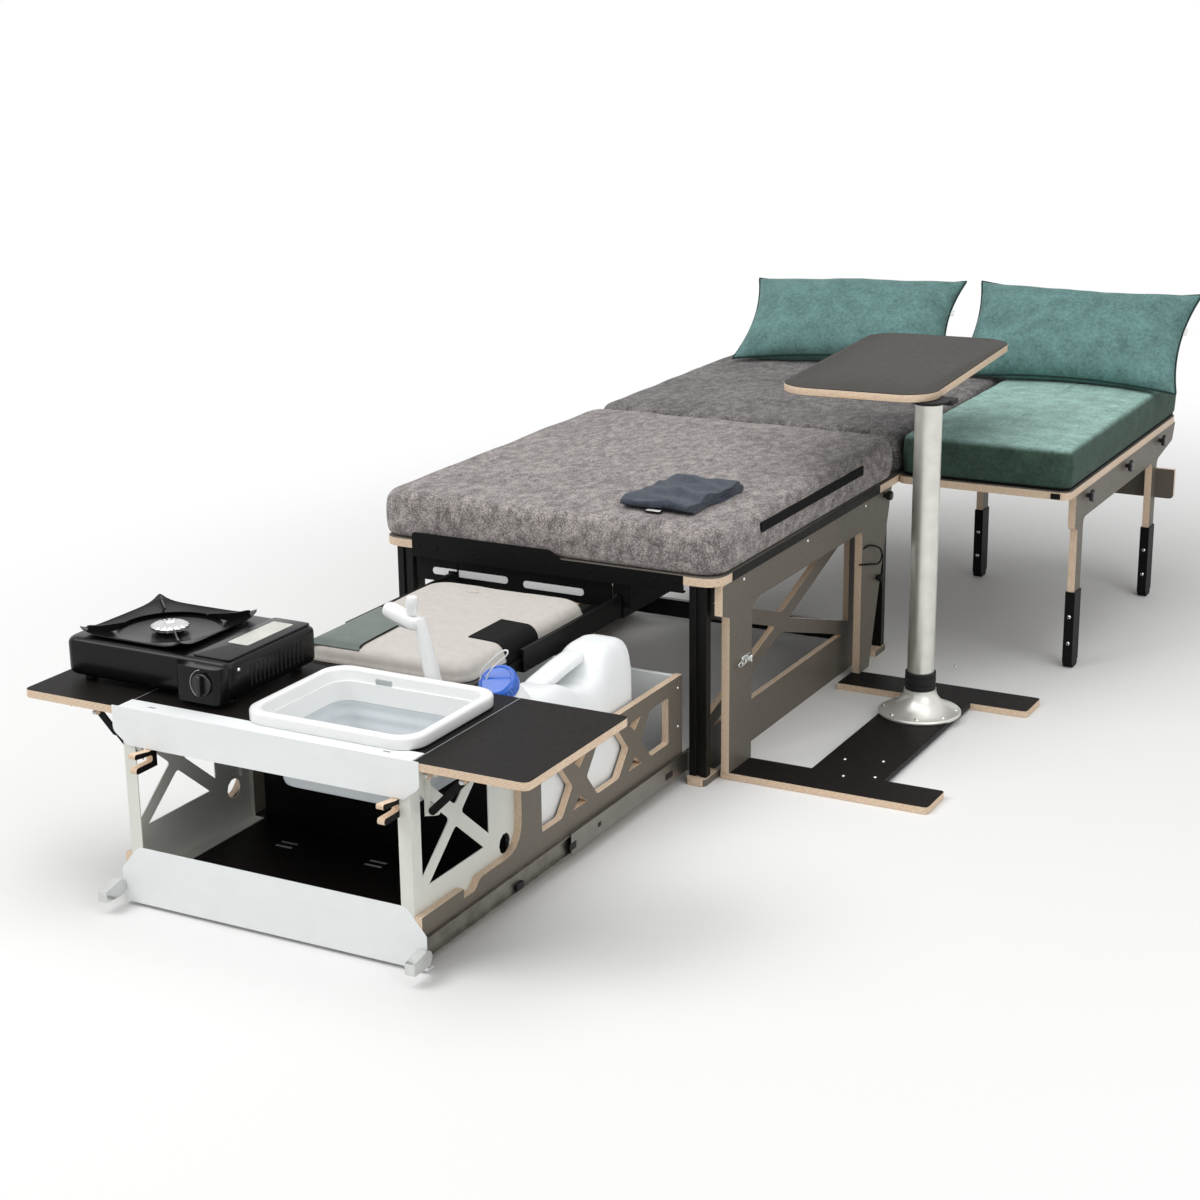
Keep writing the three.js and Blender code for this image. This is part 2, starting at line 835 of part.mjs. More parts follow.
// Closes a stack of equal rings into one skin, with a fan over each end.
function stack(rings) {
  const points = rings.flat();
  const size = rings[0].length;
  const faces = [];
  for (let level = 0; level + 1 < rings.length; level += 1) {
    for (let step = 0; step < size; step += 1) {
      const next = (step + 1) % size;
      const a = level * size + step;
      const b = level * size + next;
      faces.push(a, b, b + size, a, b + size, a + size);
    }
  }
  const centre = (ring) => ring
    .reduce((sum, point) => sum.map((value, axis) => value + point[axis]), [0, 0, 0])
    .map((value) => value / ring.length);
  const bottom = points.length;
  points.push(centre(rings[0]), centre(rings[rings.length - 1]));
  const last = (rings.length - 1) * size;
  for (let step = 0; step < size; step += 1) {
    const next = (step + 1) % size;
    faces.push(bottom, next, step);
    faces.push(bottom + 1, last + step, last + next);
  }
  const geometry = new THREE.BufferGeometry();
  geometry.setAttribute('position', new THREE.Float32BufferAttribute(points.flat(), 3));
  geometry.setIndex(faces);
  return geometry;
}

const mattressForm = {
  height: mattressThick,
  corner: mattressCornerRadius,
  edge: mattressEdgeRadius,
  crown: mattressCrown,
  drawIn: mattressDrawIn,
};

// A knife-edge pillow: plump in the middle, edges bowed in, corners drawn out.
function pillow(x, side) {
  const columns = 14;
  const rows = 10;
  const rings = [];
  for (let column = 0; column <= columns; column += 1) {
    const u = -1 + (2 * column) / columns;
    const ring = [];
    const along = u * (pillowWidth / 2);
    for (let step = 0; step < 2 * rows; step += 1) {
      const face = step < rows ? 1 : -1;
      const v = step < rows ? -1 + (2 * step) / rows : 1 - (2 * (step - rows)) / rows;
      const bow = pillowPinch * (1 - v * v) * Math.abs(u) ** pillowPinchPower;
      const dip = pillowPinch * (1 - u * u) * Math.abs(v) ** pillowPinchPower;
      const fall = (1 - Math.abs(u) ** pillowPlumpPower) * (1 - Math.abs(v) ** pillowPlumpPower);
      const plump = fall ** pillowPlumpShare;
      ring.push([
        along - Math.sign(u) * bow,
        face * (plump * pillowThick) / 2 + face * pillowPinch * pillowSeamShare,
        v * (pillowHeight / 2) - Math.sign(v) * dip,
      ]);
    }
    rings.push(ring);
  }
  const geometry = stack(rings);
  geometry.rotateX(-THREE.MathUtils.degToRad(pillowLeanDeg));
  geometry.rotateZ(side * THREE.MathUtils.degToRad(pillowTurnDeg));
  geometry.computeBoundingBox();
  const bed = deckTop + mattressThick + mattressCrown - pillowSettle;
  const rise = bed + seat - geometry.boundingBox.min.z;
  const reach = (pillowHeight / 2) * Math.sin(THREE.MathUtils.degToRad(pillowLeanDeg));
  return geometry.translate(x, pillowFoot + reach, rise);
}

function towel() {
  const edge = towelThick * lesserRoundShare;
  const form = { height: towelThick, corner: towelThick, edge, crown: 0, drawIn: 0 };
  const bottom = deckTop + mattressThick + mattressCrown + seat;
  const x0 = towelX - towelWidth / 2;
  const y0 = towelY - towelLength / 2;
  return cushion(x0, x0 + towelWidth, y0, y0 + towelLength, bottom, form);
}

// Table

function tableBase() {
  const rearY = tableArmRearY;
  const plan = outline([
    [tableArmInner, tableArmFrontY, 0],
    [tableArmOuter, tableArmFrontY, tableArmTipRadius],
    [tableArmOuter, tableArmFrontY + tableArmWidth, tableArmTipRadius],
    [tableArmInner, tableArmFrontY + tableArmWidth, 0],
  ]);
  const rearPlan = outline([
    [tableArmInner, rearY, 0],
    [tableArmOuter, rearY, tableArmTipRadius],
    [tableArmOuter, rearY + tableArmWidth, tableArmTipRadius],
    [tableArmInner, rearY + tableArmWidth, 0],
  ]);
  const plateRight = tablePlateLeft + tablePlateWidth;
  const plateFront = tableArmFrontY + overrun;
  const plateRear = rearY + tableArmWidth - overrun;
  const plate = rectangle(tablePlateLeft, plateRight, plateFront, plateRear);
  return join([
    solid(flatSheet(plan, 0, footThick)),
    solid(flatSheet(rearPlan, 0, footThick)),
    solid(flatSheet(plate, footThick - tablePlateThick, footThick)),
  ]);
}

function pedestalCone() {
  const bore = tubeRadius + seat;
  const foot = coneHeight - coneBoreDepth;
  return lathe([
    [0, 0],
    [coneFootRadius, 0],
    [coneFootRadius, coneRimHeight],
    ...coneFlareShares.map(([out, up]) => [coneFootRadius * out, coneHeight * up]),
    [coneNeckRadius, coneHeight],
    [bore, coneHeight],
    [bore, foot],
    [0, foot],
  ]).translate(pedestalX, pedestalY, footThick + seat);
}

function tableTube() {
  const bottom = coneHeight - coneBoreDepth + seat;
  const collarBottom = coneHeight + seat;
  const top = tubeTop - footThick - seat;
  const inner = tubeRadius - tubeWall;
  return lathe([
    [inner, bottom],
    [tubeRadius, bottom],
    [tubeRadius, collarBottom],
    [coneNeckRadius, collarBottom],
    [coneNeckRadius, collarBottom + collarHeight],
    [tubeRadius, collarBottom + collarHeight],
    [tubeRadius, top],
    [inner, top],
    [inner, bottom],
  ]).translate(pedestalX, pedestalY, footThick + seat);
}

// Rounded board with the socket plate that drops over the tube.
function tableTop() {
  const half = tableTopLength / 2;
  const side = tableTopWidth / 2;
  const bottom = tubeTop + seat + socketFlangeThick;
  const plan = rectangle(-side, side, -half, half, tableTopRadius);
  const board = flatSheet(plan, bottom, bottom + tableTopThick)
    .rotateZ(THREE.MathUtils.degToRad(tableTurnDeg))
    .translate(tableTopX, tableTopY, 0);
  const bore = tubeRadius + seat;
  const socket = lathe([
    [0, socketHeight],
    [bore, socketHeight],
    [bore, 0],
    [socketRadius, 0],
    [socketRadius, socketHeight - seat],
    [socketFlangeRadius, socketHeight - seat],
    [socketFlangeRadius, socketHeight + socketFlangeThick + seat],
    [0, socketHeight + socketFlangeThick + seat],
  ]).translate(pedestalX, pedestalY, tubeTop + seat - socketHeight);
  return solid(board).add(solid(socket));
}

// Drawer slides: outer channel on the posts, middle channel, inner channel on the drawer

function slideChannel(side, insideX, outsideX, halfHeight, y0, y1) {
  const middle = slideBottom + slideHeight / 2;
  const [a, b] = side > 0 ? [insideX, outsideX] : [-insideX, -outsideX];
  const web = b + Math.sign(a - b) * slideWall;
  const section = outline([
    [a, middle - halfHeight, 0],
    [b, middle - halfHeight, 0],
    [b, middle + halfHeight, 0],
    [a, middle + halfHeight, 0],
    [a, middle + halfHeight - slideWall, 0],
    [web, middle + halfHeight - slideWall, 0],
    [web, middle - halfHeight + slideWall, 0],
    [a, middle - halfHeight + slideWall, 0],
  ]);
  return frontSheet(section, y0, y1);
}

const outerHalf = slideHeight / 2;
const middleHalf = outerHalf - slideWall - slideGap;
const innerHalf = middleHalf - slideWall - slideGap;

function slideOuter(side) {
  const outside = postInner - seat;
  return slideChannel(side, outside - slideThick * slideOuterShare, outside, outerHalf, 0, slideLength);
}

function slideMiddle(side) {
  const outside = postInner - seat - slideWall - slideGap;
  const front = -slideMiddleReach;
  const inside = outside - slideThick * slideMiddleShare;
  return slideChannel(side, inside, outside, middleHalf, front, front + slideLength);
}

function slideInner(side) {
  const inside = drawerHalf - seat;
  const outside = postInner - seat - 2 * (slideWall + slideGap);
  return slideChannel(side, outside, inside, innerHalf, -kitchenReach, -kitchenTail);
}

// Kitchen drawer

// Plywood side with a low front, a hand notch, a concave rise and a pierced truss.
function drawerSide(side) {
  const [x0, x1] = mirrored(side, drawerInner, drawerHalf);
  const front = -kitchenReach;
  const rear = -kitchenTail;
  const high = -drawerRise;
  const face = outline([
    [front, drawerBottom, 0],
    [rear, drawerBottom, 0],
    [rear, drawerHighTop, 0],
    [high, drawerHighTop, 0],
    [high, drawerLowTop, drawerRiseRadius],
    [-notchRear, drawerLowTop, notchDepth / 2],
    [-notchRear - notchDepth, drawerLowTop - notchDepth, notchDepth / 2],
    [-notchFront, drawerLowTop - notchDepth, 0],
    [-notchFront, drawerLowTop, 0],
    [front, drawerLowTop, 0],
  ]);
  return pierced(sideSheet, face, trussHoles(), x0, x1).add(solid(slideInner(side)));
}

// Hexagon windows between crossing bars, with small triangles above and below each crossing.
function trussHoles() {
  const low = trussLow;
  const high = drawerHighTop - trussBandHeight;
  const middle = (low + high) / 2;
  const span = trussFront - trussRear;
  const crossings = trussCrossingShares.map((share) => share * span - trussFront);
  const stations = [-trussFront, ...crossings, -trussRear];
  const reach = trussTip + trussLean;
  const holes = [];
  for (let index = 0; index + 1 < stations.length; index += 1) {
    const y0 = stations[index];
    const y1 = stations[index + 1];
    const first = index === 0;
    const last = index + 2 === stations.length;
    const round = trussRound;
    const front = first ? [[y0, low, round], [y0, high, round]]
      : [[y0 + reach, low, round], [y0 + trussTip, middle, round], [y0 + reach, high, round]];
    const rear = last ? [[y1, high, round], [y1, low, round]]
      : [[y1 - reach, high, round], [y1 - trussTip, middle, round], [y1 - reach, low, round]];
    holes.push(outline([...front, ...rear]));
    if (!last) {
      const ends = [y1 - trussTip, y1 + trussTip];
      holes.push(outline([[ends[0], low, 0], [y1, middle - trussTip, 0], [ends[1], low, 0]]));
      holes.push(outline([[ends[0], high, 0], [ends[1], high, 0], [y1, middle + trussTip, 0]]));
    }
  }
  return holes;
}

function drawerFloor() {
  const side = drawerInner - seat;
  return block(-side, side, -kitchenReach, -kitchenTail, floorBottom, floorTop);
}

function drawerBack() {
  const half = drawerInner - seat;
  const rear = -kitchenTail;
  const face = rectangle(-half, half, floorTop + seat, drawerHighTop - backDrop);
  return frontSheet(face, rear - backThick, rear);
}

// Bent steel side of the kitchen housing: pierced web, front flange, foot flange, rear channel
// and the plate that the wing bracket turns on.
function housingSide(side) {
  const outer = drawerInner - seat;
  const inner = outer - sheet;
  const front = -kitchenReach;
  const rear = -housingTail;
  const bottom = floorTop + seat;
  const low = housingBayLow;
  const high = housingBayHigh;
  const bayFront = front + housingBayFront;
  const bayRear = rear - housingBayRear;
  const midY = (bayFront + bayRear) / 2;
  const midZ = (low + high) / 2;
  const bar = housingBar;
  const round = bar / 2;
  const web = rectangle(front, rear, bottom, housingTop);
  const holes = [
    outline([[bayFront, low + bar, 0], [bayFront, high - bar, 0], [midY - bar, midZ, round]]),
    outline([[bayRear, low + bar, 0], [bayRear, high - bar, 0], [midY + bar, midZ, round]]),
    outline([[bayFront + bar, low, 0], [bayRear - bar, low, 0], [midY, midZ - bar, round]]),
    outline([[bayFront + bar, high, 0], [bayRear - bar, high, 0], [midY, midZ + bar, round]]),
  ];
  const cableHole = new THREE.Shape();
  cableHole.absarc(rear - 2 * housingFlange, low - housingHoleRadius, housingHoleRadius, 0, 2 * Math.PI);
  holes.push(cableHole);
  const [w0, w1] = mirrored(side, inner, outer);
  const [f0, f1] = mirrored(side, outer - housingFlange, outer);
  const [g0, g1] = mirrored(side, outer - housingFootFlange, outer);
  const [c0, c1] = mirrored(side, outer - housingChannelDepth, outer);
  const parts = [
    pierced(sideSheet, web, holes, w0, w1),
    solid(block(f0, f1, front, front + sheet, bottom, housingTop)),
    solid(block(g0, g1, front, rear, bottom, bottom + sheet)),
    solid(block(c0, c1, rear - sheet, rear, bottom, housingTop)),
    solid(block(c0, c1, rear - housingChannelWidth, rear - housingChannelWidth + sheet, low, housingTop)),
    solid(bracketPlate(side, inner)),
  ];
  return join(parts);
}

function drawerSkirt() {
  const half = skirtWidth / 2;
  const face = outline([
    [-half, skirtBottom, 0],
    [half, skirtBottom, 0],
    [half, skirtTop - skirtCornerDrop, 0],
    [half - skirtCornerRun, skirtTop, skirtCornerRun * lesserRoundShare],
    [-half + skirtCornerRun, skirtTop, skirtCornerRun * lesserRoundShare],
    [-half, skirtTop - skirtCornerDrop, 0],
  ]);
  const back = -kitchenReach - seat;
  return join([
    solid(frontSheet(face, back - sheet, back)),
    solid(block(-half, half, back - sheet, back - sheet + skirtReturn, skirtBottom, skirtBottom + sheet)),
  ]);
}

// Bent steel rail across the front of the worktop.
function frontRail() {
  const half = railWidth / 2;
  const shelf = counterWidth / 2;
  const face = outline([
    [-half + railCornerRun, railBottom, 0],
    [half - railCornerRun, railBottom, 0],
    [half, railBottom + railCornerDrop, railCornerDrop * lesserRoundShare],
    [half, railTop, 0],
    [-half, railTop, 0],
    [-half, railBottom + railCornerDrop, railCornerDrop * lesserRoundShare],
  ]);
  const back = -kitchenReach - seat;
  const front = back - sheet;
  const slotY = front + railShelf / 2;
  const slots = [-1, 1].map((side) => {
    const x = side * (shelf - railSlotInset) - railSlotLength / 2;
    const y = slotY - railSlotWidth / 2;
    const bottom = railTop - overrun;
    return solid(block(x, x + railSlotLength, y, y + railSlotWidth, bottom, railTop + overrun));
  });
  return join([
    solid(frontSheet(face, front, back)),
    solid(block(-shelf, shelf, front, front + railShelf, railTop - sheet, railTop)),
  ]).subtract(join(slots));
}

// Worktop with the basin opening; it rests on the top edges of the housing sides.
function worktop() {
  const half = counterWidth / 2;
  const plan = rectangle(-half, half, -kitchenReach, -housingTail + overrun);
  const inset = basinRimWidth;
  const x0 = basinX - basinWidth / 2 + inset;
  const y0 = basinY - basinDepth / 2 + inset;
  const opening = rectangle(x0, x0 + basinWidth - 2 * inset, y0, y0 + basinDepth - 2 * inset,
    basinCornerRadius - inset);
  return pierced(flatSheet, plan, [opening], counterBottom, counterTop);
}

// Folding wing of the worktop with its bracket arm and hinge knuckle below.
function wing(side) {
  const inner = counterWidth / 2 + linkGap;
  const outer = inner + wingWidth;
  const plan = outline([
    [side * inner, -kitchenReach, 0],
    [side * outer, -kitchenReach, wingCornerRadius],
    [side * outer, -housingTail + overrun, wingCornerRadius],
    [side * inner, -housingTail + overrun, 0],
  ]);
  const armTop = counterBottom + sheet;
  const arm = outline([
    [side * hingeX, hingeZ + knuckleRadius * knuckleTopShare, 0],
    [side * (hingeX + linkArm * lesserRoundShare), counterBottom - armHeight, 0],
    [side * (hingeX + armLength), counterBottom - armHeight / 2, 0],
    [side * (hingeX + armLength), armTop, 0],
    [side * (hingeX - knuckleRadius / 2), armTop, 0],
  ]);
  const knuckle = new THREE.Shape();
  knuckle.absarc(side * hingeX, hingeZ, knuckleRadius, 0, 2 * Math.PI);
  const shoulder = new THREE.Shape();
  shoulder.absarc(side * (hingeX + linkArm), hingeZ, linkWidth / 2, 0, 2 * Math.PI);
  const y0 = bracketFrontY;
  const bar = frontSheet(arm, y0, y0 + linkThick);
  return join([
    solid(flatSheet(plan, counterBottom, counterTop)),
    solid(bar),
    solid(frontSheet(knuckle, y0, y0 + linkThick)),
    solid(frontSheet(shoulder, y0, y0 + linkThick)),
  ]);
}

// Fixed plate of the wing bracket; it reaches from the housing side to the two pivots.
function bracketPlate(side, from) {
  const y1 = bracketFrontY + bracketLayers * (linkThick + linkGap);
  const reach = drawerInner + bracketPlateReach;
  const low = hingeZ - linkArm;
  const face = outline([
    [side * from, low - linkWidth, 0],
    [side * reach, low - linkWidth / 2, linkWidth * lesserRoundShare],
    [side * reach, low + linkWidth / 2, 0],
    [side * (hingeX - linkWidth / 2), low + linkWidth, 0],
    [side * (hingeX - linkWidth / 2), hingeZ - linkWidth, 0],
    [side * reach, hingeZ - linkWidth / 2, 0],
    [side * reach, hingeZ + linkWidth / 2, linkWidth * lesserRoundShare],
    [side * from, hingeZ + linkWidth / 2, 0],
  ]);
  return frontSheet(face, y1 - linkThick, y1);
}

// Two flat links that fold at a knee while the wing turns down.
function link(side, upper) {
  const length = linkArm * Math.SQRT1_2;
  const shape = new THREE.Shape();
  const half = linkWidth / 2;
  shape.absarc(0, 0, half, Math.PI / 2, (3 * Math.PI) / 2);
  shape.absarc(length, 0, half, -Math.PI / 2, Math.PI / 2);
  shape.closePath();
  const layer = upper ? 1 : 2;
  const y0 = bracketFrontY + layer * (linkThick + linkGap);
  const rightAngle = upper ? (-3 * Math.PI) / 4 : Math.PI / 4;
  const angle = side > 0 ? rightAngle : Math.PI - rightAngle;
  const pivotX = upper ? hingeX + linkArm : hingeX;
  const pivotZ = upper ? hingeZ : hingeZ - linkArm;
  return frontSheet(shape, 0, linkThick).rotateY(-angle).translate(side * pivotX, y0, pivotZ);
}

// Release lever on the front end of each slide, round at its pivot and flat at the thumb.
function releaseLever(side) {
  const inside = drawerHalf + slideGap;
  const [a, b] = mirrored(side, inside, inside + leverWidth);
  const radius = leverHeight / 2;
  const pivot = leverPivotY;
  const face = new THREE.Shape();
  face.moveTo(pivot, leverZ);
  face.absarc(pivot, leverZ + radius, radius, -Math.PI / 2, Math.PI / 2);
  face.lineTo(pivot - leverLength, leverZ + leverHeight * leverTaperShare);
  face.lineTo(pivot - leverLength, leverZ);
  face.closePath();
  return sideSheet(face, a, b);
}

// Basin

// Folding basin: a rounded rim on the worktop and a stepped bowl through the opening.
function basin() {
  const x0 = basinX - basinWidth / 2;
  const x1 = basinX + basinWidth / 2;
  const y0 = basinY - basinDepth / 2;
  const y1 = basinY + basinDepth / 2;
  const level = (inset, z) => {
    const round = Math.max(basinCornerRadius - inset / 2, basinRimWidth);
    return roundedRing(x0 + inset, x1 - inset, y0 + inset, y1 - inset, round, z);
  };
  const rimBottom = railTop + seat;
  const rim = stack([
    level(seat, rimBottom),
    level(0, rimBottom + basinRimEdge),
    level(0, basinRimTop - basinRimEdge),
    level(basinRimEdge, basinRimTop),
  ]);
  const folded = (wall, end) => {
    const rings = [];
    const drop = (counterBottom - basinBottom) / basinFolds;
    for (let fold = basinFolds; fold > 0; fold -= 1) {
      const share = fold / basinFolds;
      const inset = basinRimWidth + basinRimEdge + wall + basinTaper * share;
      const z = counterBottom - drop * fold + wall;
      rings.push(level(inset, z));
      rings.push(level(inset - basinFoldStep * share, z + drop * share));
    }
    rings.push(level(basinRimWidth + basinRimEdge + wall, counterBottom + wall));
    rings.push(level(basinRimWidth + wall, end));
    return stack(rings);
  };
  const bowl = solid(folded(0, basinRimTop - basinRimEdge));
  return solid(rim).add(bowl).subtract(solid(folded(basinWall, basinRimTop + overrun)));
}

// Tap with a leaning stem, a broad spray head and a push button on top.
function tap() {
  const half = tapStemWidth / 2;
  const base = counterTop + seat;
  const foot = lathe([
    [0, 0],
    [tapFootRadius, 0],
    [tapFootRadius, tapFootHeight],
    [0, tapFootHeight],
  ]).translate(tapX, tapY, base);
  const top = base + tapHeight;
  const headX = tapX - tapLean;
  const stem = outline([
    [tapX - half, base + seat, 0],
    [tapX + half, base + seat, 0],
    [headX + half, top, half],
    [headX - half, top, 0],
  ]);
  const head = outline([
    [headX + half, top - tapHeadHeight, half / 2],
    [headX + half, top + tapHeadRise, half],
    [headX - tapHeadReach, top + tapHeadRise, half],
    [headX - tapHeadReach, top - half, half / 2],
  ]);
  const crown = outline([
    [headX - half, top, 0],
    [headX - half + tapCrownWidth, top, 0],
    [headX - half + tapCrownWidth, top + tapCrownHeight, half / 2],
    [headX - half, top + tapCrownHeight, half / 2],
  ]);
  const slab = (shape, width) => solid(frontSheet(shape, tapY - width / 2, tapY + width / 2));
  return join([
    solid(foot),
    slab(stem, tapStemWidth),
    slab(head, tapStemWidth * tapHeadWidthShare),
    slab(crown, tapCrownWidth),
  ]);
}

// Stove

function stoveBody() {
  const x0 = stoveX - stoveWidth / 2;
  const x1 = stoveX + stoveWidth / 2;
  const y0 = stoveY - stoveDepth / 2;
  const y1 = stoveY + stoveDepth / 2;
  const bottom = counterTop + seat + stoveFootHeight;
  const top = bottom + stoveBodyHeight;
  const edge = stoveEdgeRadius;
  const round = stoveCornerRadius;
  const ring = (inset, z) => roundedRing(x0 + inset, x1 - inset, y0 + inset, y1 - inset, round, z);
  const shell = stack([ring(edge, bottom), ring(0, bottom + edge), ring(0, top - edge), ring(edge, top)]);
  const pan = lathe([
    [0, -dripPanDepth],
    [dripPanRadius * dripPanFloorShare, -dripPanDepth],
    [dripPanRadius, overrun],
    [0, overrun],
  ]).translate(burnerX, burnerY, top);
  const burner = lathe([
    [0, -dripPanDepth - seat],
    [burnerRadius * burnerFootShare, -dripPanDepth - seat],
    [burnerRadius, -dripPanDepth + burnerHeight / 2],
    [burnerRadius, -dripPanDepth + burnerHeight * burnerRimShare],
    [burnerRadius * burnerRimShare, -dripPanDepth + burnerHeight],
    [0, -dripPanDepth + burnerHeight],
  ]).translate(burnerX, burnerY, top);
  const corners = [[x0, y0, 1, 1], [x1, y0, -1, 1], [x0, y1, 1, -1], [x1, y1, -1, -1]];
  const feet = corners.map(([x, y, toX, toY]) => {
    const foot = lathe([
      [0, 0],
      [stoveFootRadius, 0],
      [stoveFootRadius, stoveFootHeight + edge],
      [0, stoveFootHeight + edge],
    ]);
    const reach = 2 * round;
    return solid(foot.translate(x + toX * reach, y + toY * reach, counterTop + seat));
  });
  const panelRight = x1 - stovePanelMargin;
  const plan = outline([
    [panelRight - stovePanelWidth, y0 + overrun, 0],
    [panelRight - stovePanelWidth, y0 - stovePanelDepth * lesserRoundShare, 0],
    [panelRight - stovePanelWidth + stovePanelDepth / 2, y0 - stovePanelDepth, edge],
    [panelRight, y0 - stovePanelDepth, round],
    [panelRight, y0 + overrun, 0],
  ]);
  const panel = flatSheet(plan, bottom, top - edge);
  return solid(shell).subtract(solid(pan)).add(solid(burner)).add(solid(panel)).add(join(feet));
}

function stoveKnob() {
  const radius = stoveKnobRadius;
  const grip = radius * knobGripShare;
  const bar = radius * knobBarShare;
  return solid(lathe([
    [0, 0],
    [radius, 0],
    [radius, stoveKnobLength * lesserRoundShare],
    [grip, stoveKnobLength * lesserRoundShare],
    [grip, stoveKnobLength / 2],
    [0, stoveKnobLength / 2],
  ])).add(solid(block(-bar, bar, -grip, grip, seat, stoveKnobLength)));
}

// Square wire-edged plate with four pointed fingers that hold a pan.
function panSupport() {
  const half = panSupportSize / 2;
  const inner = half - panSupportRim;
  const base = counterTop + seat + stoveFootHeight + stoveBodyHeight + seat;
  const plate = rectangle(-half, half, -half, half, panSupportRim);
  const opening = rectangle(-inner, inner, -inner, inner, inner * supportRoundShare);
  const finger = outline([
    [half * Math.SQRT2 - panSupportRim, 0, 0],
    [half * Math.SQRT2 - panSupportRim / 2, panFingerHeight, 0],
    [half * Math.SQRT2 - panFingerLength, panFingerHeight * fingerTopShare, 0],
    [half * Math.SQRT2 - panFingerLength * fingerFootShare, 0, 0],
  ]);
  const fingers = [1, 3, 5, 7].map((corner) => {
    const blade = frontSheet(finger, -panFingerThick / 2, panFingerThick / 2);
    return solid(blade.rotateZ((corner * Math.PI) / 4));
  });
  const frame = pierced(flatSheet, plate, [opening], 0, panSupportSheet);
  return frame.add(join(fingers)).translate([burnerX, burnerY, base]);
}

// Canister

// Tall water canister: sloped shoulder, finger hole behind it and a tilted neck at the front.
function canister() {
  const front = canisterFront;
  const rear = front + canisterLength;
  const bottom = floorTop + seat;
  const round = canisterCornerRadius;
  const side = outline([
    [front, bottom, round],
    [rear, bottom, round],
    [rear, canisterTop, round],
    [rear - canisterHump, canisterTop, round / 2],
    [rear - canisterHump - canisterHumpSlope, canisterShoulder, round / 2],
    [front + canisterNose, canisterShoulder, round],
    [front, canisterShoulder - canisterNose, round / 2],
  ]);
  const gripRear = rear - handleBar;
  const gripFront = rear - handleReach;
  const grip = outline([
    [gripFront, canisterTop - handleBar - handleDepth, round / 2],
    [gripRear, canisterTop - handleBar - handleDepth, round / 2],
    [gripRear, canisterTop - handleBar, round / 2],
    [gripFront, canisterTop - handleBar, round / 2],
  ]);
  const x0 = canisterX - canisterWidth / 2;
  const x1 = canisterX + canisterWidth / 2;
  const body = pierced(sideSheet, side, [grip], x0, x1);
  const plan = flatSheet(rectangle(x0, x1, front, rear, round), bottom - overrun, canisterTop + overrun);
  return body.intersect(solid(plan)).add(solid(neck([
    [0, -neckLength],
    [neckRadius, -neckLength],
    [neckRadius, neckLength],
    [0, neckLength],
  ])));
}

function neck(profile) {
  const tilt = THREE.MathUtils.degToRad(capTiltDeg);
  return lathe(profile).rotateX(tilt).translate(canisterX, neckY, neckZ);
}

function canisterCap() {
  const end = neckLength + seat;
  return neck([
    [0, end],
    [capRadius, end],
    [capRadius, end + capLength * capRimShare],
    [capRadius * capTopShare, end + capLength],
    [0, end + capLength],
  ]);
}

// Upper pull-out: fixed track under the deck, carriage, tray with a canvas bag

function upperTrack() {
  const top = deckBottom - seat;
  const lipBottom = trackLipTop - trackThick;
  const section = outline([
    [trackLeft, lipBottom, 0],
    [trackLeft + trackLip, lipBottom, 0],
    [trackLeft + trackLip, trackLipTop, 0],
    [trackLeft + trackThick, trackLipTop, 0],
    [trackLeft + trackThick, top - trackThick, 0],
    [trackRight - trackThick, top - trackThick, 0],
    [trackRight - trackThick, trackLipTop, 0],
    [trackRight - trackLip, trackLipTop, 0],
    [trackRight - trackLip, lipBottom, 0],
    [trackRight, lipBottom, 0],
    [trackRight, top, 0],
    [trackLeft, top, 0],
  ]);
  return frontSheet(section, trackFront, boxDepth - postDepth - seat);
}

function upperCarriage() {
  const rear = runnerFront + runnerLength;
  const lipBottom = runnerLipTop - runnerSheet;
  const rails = [[runnerLeft, 1], [runnerRight, -1]].map(([x, inward]) => {
    const section = outline([
      [x, lipBottom, 0],
      [x + inward * runnerLip, lipBottom, 0],
      [x + inward * runnerLip, runnerLipTop, 0],
      [x + inward * runnerSheet, runnerLipTop, 0],
      [x + inward * runnerSheet, runnerTop - runnerSheet, 0],
      [x + inward * runnerWidth, runnerTop - runnerSheet, 0],
      [x + inward * runnerWidth, runnerTop, 0],
      [x, runnerTop, 0],
    ]);
    return solid(frontSheet(section, runnerFront, rear));
  });
  const barBottom = runnerTop - runnerSheet;
  const crossbar = block(runnerLeft, runnerRight, rear - runnerBar, rear, barBottom, runnerTop);
  return join([...rails, solid(crossbar)]);
}

function upperTray() {
  const rear = trayFront + trayLength;
  const outside = block(trayLeft, trayRight, trayFront, rear, trayBottom, trayWallTop);
  const [x0, x1] = [trayLeft + traySheet, trayRight - traySheet];
  const [y0, y1] = [trayFront + traySheet, rear - traySheet];
  const inside = block(x0, x1, y0, y1, trayBottom + traySheet, trayWallTop + overrun);
  return solid(outside).subtract(solid(inside));
}

function canvasBag() {
  const y0 = trayFront + (trayLength - bagLength) / 2;
  const x0 = trayLeft + traySheet + bagSideGap;
  const x1 = trayRight - traySheet - bagSideGap;
  const bottom = trayBottom + traySheet + seat;
  const form = {
    height: bagTop - bottom,
    corner: bagEdgeRadius,
    edge: bagEdgeRadius * bagRimShare,
    crown: mattressCrown,
    drawIn: 0,
  };
  return cushion(x0, x1, y0, y0 + bagLength, bottom, form);
}

// Assembly

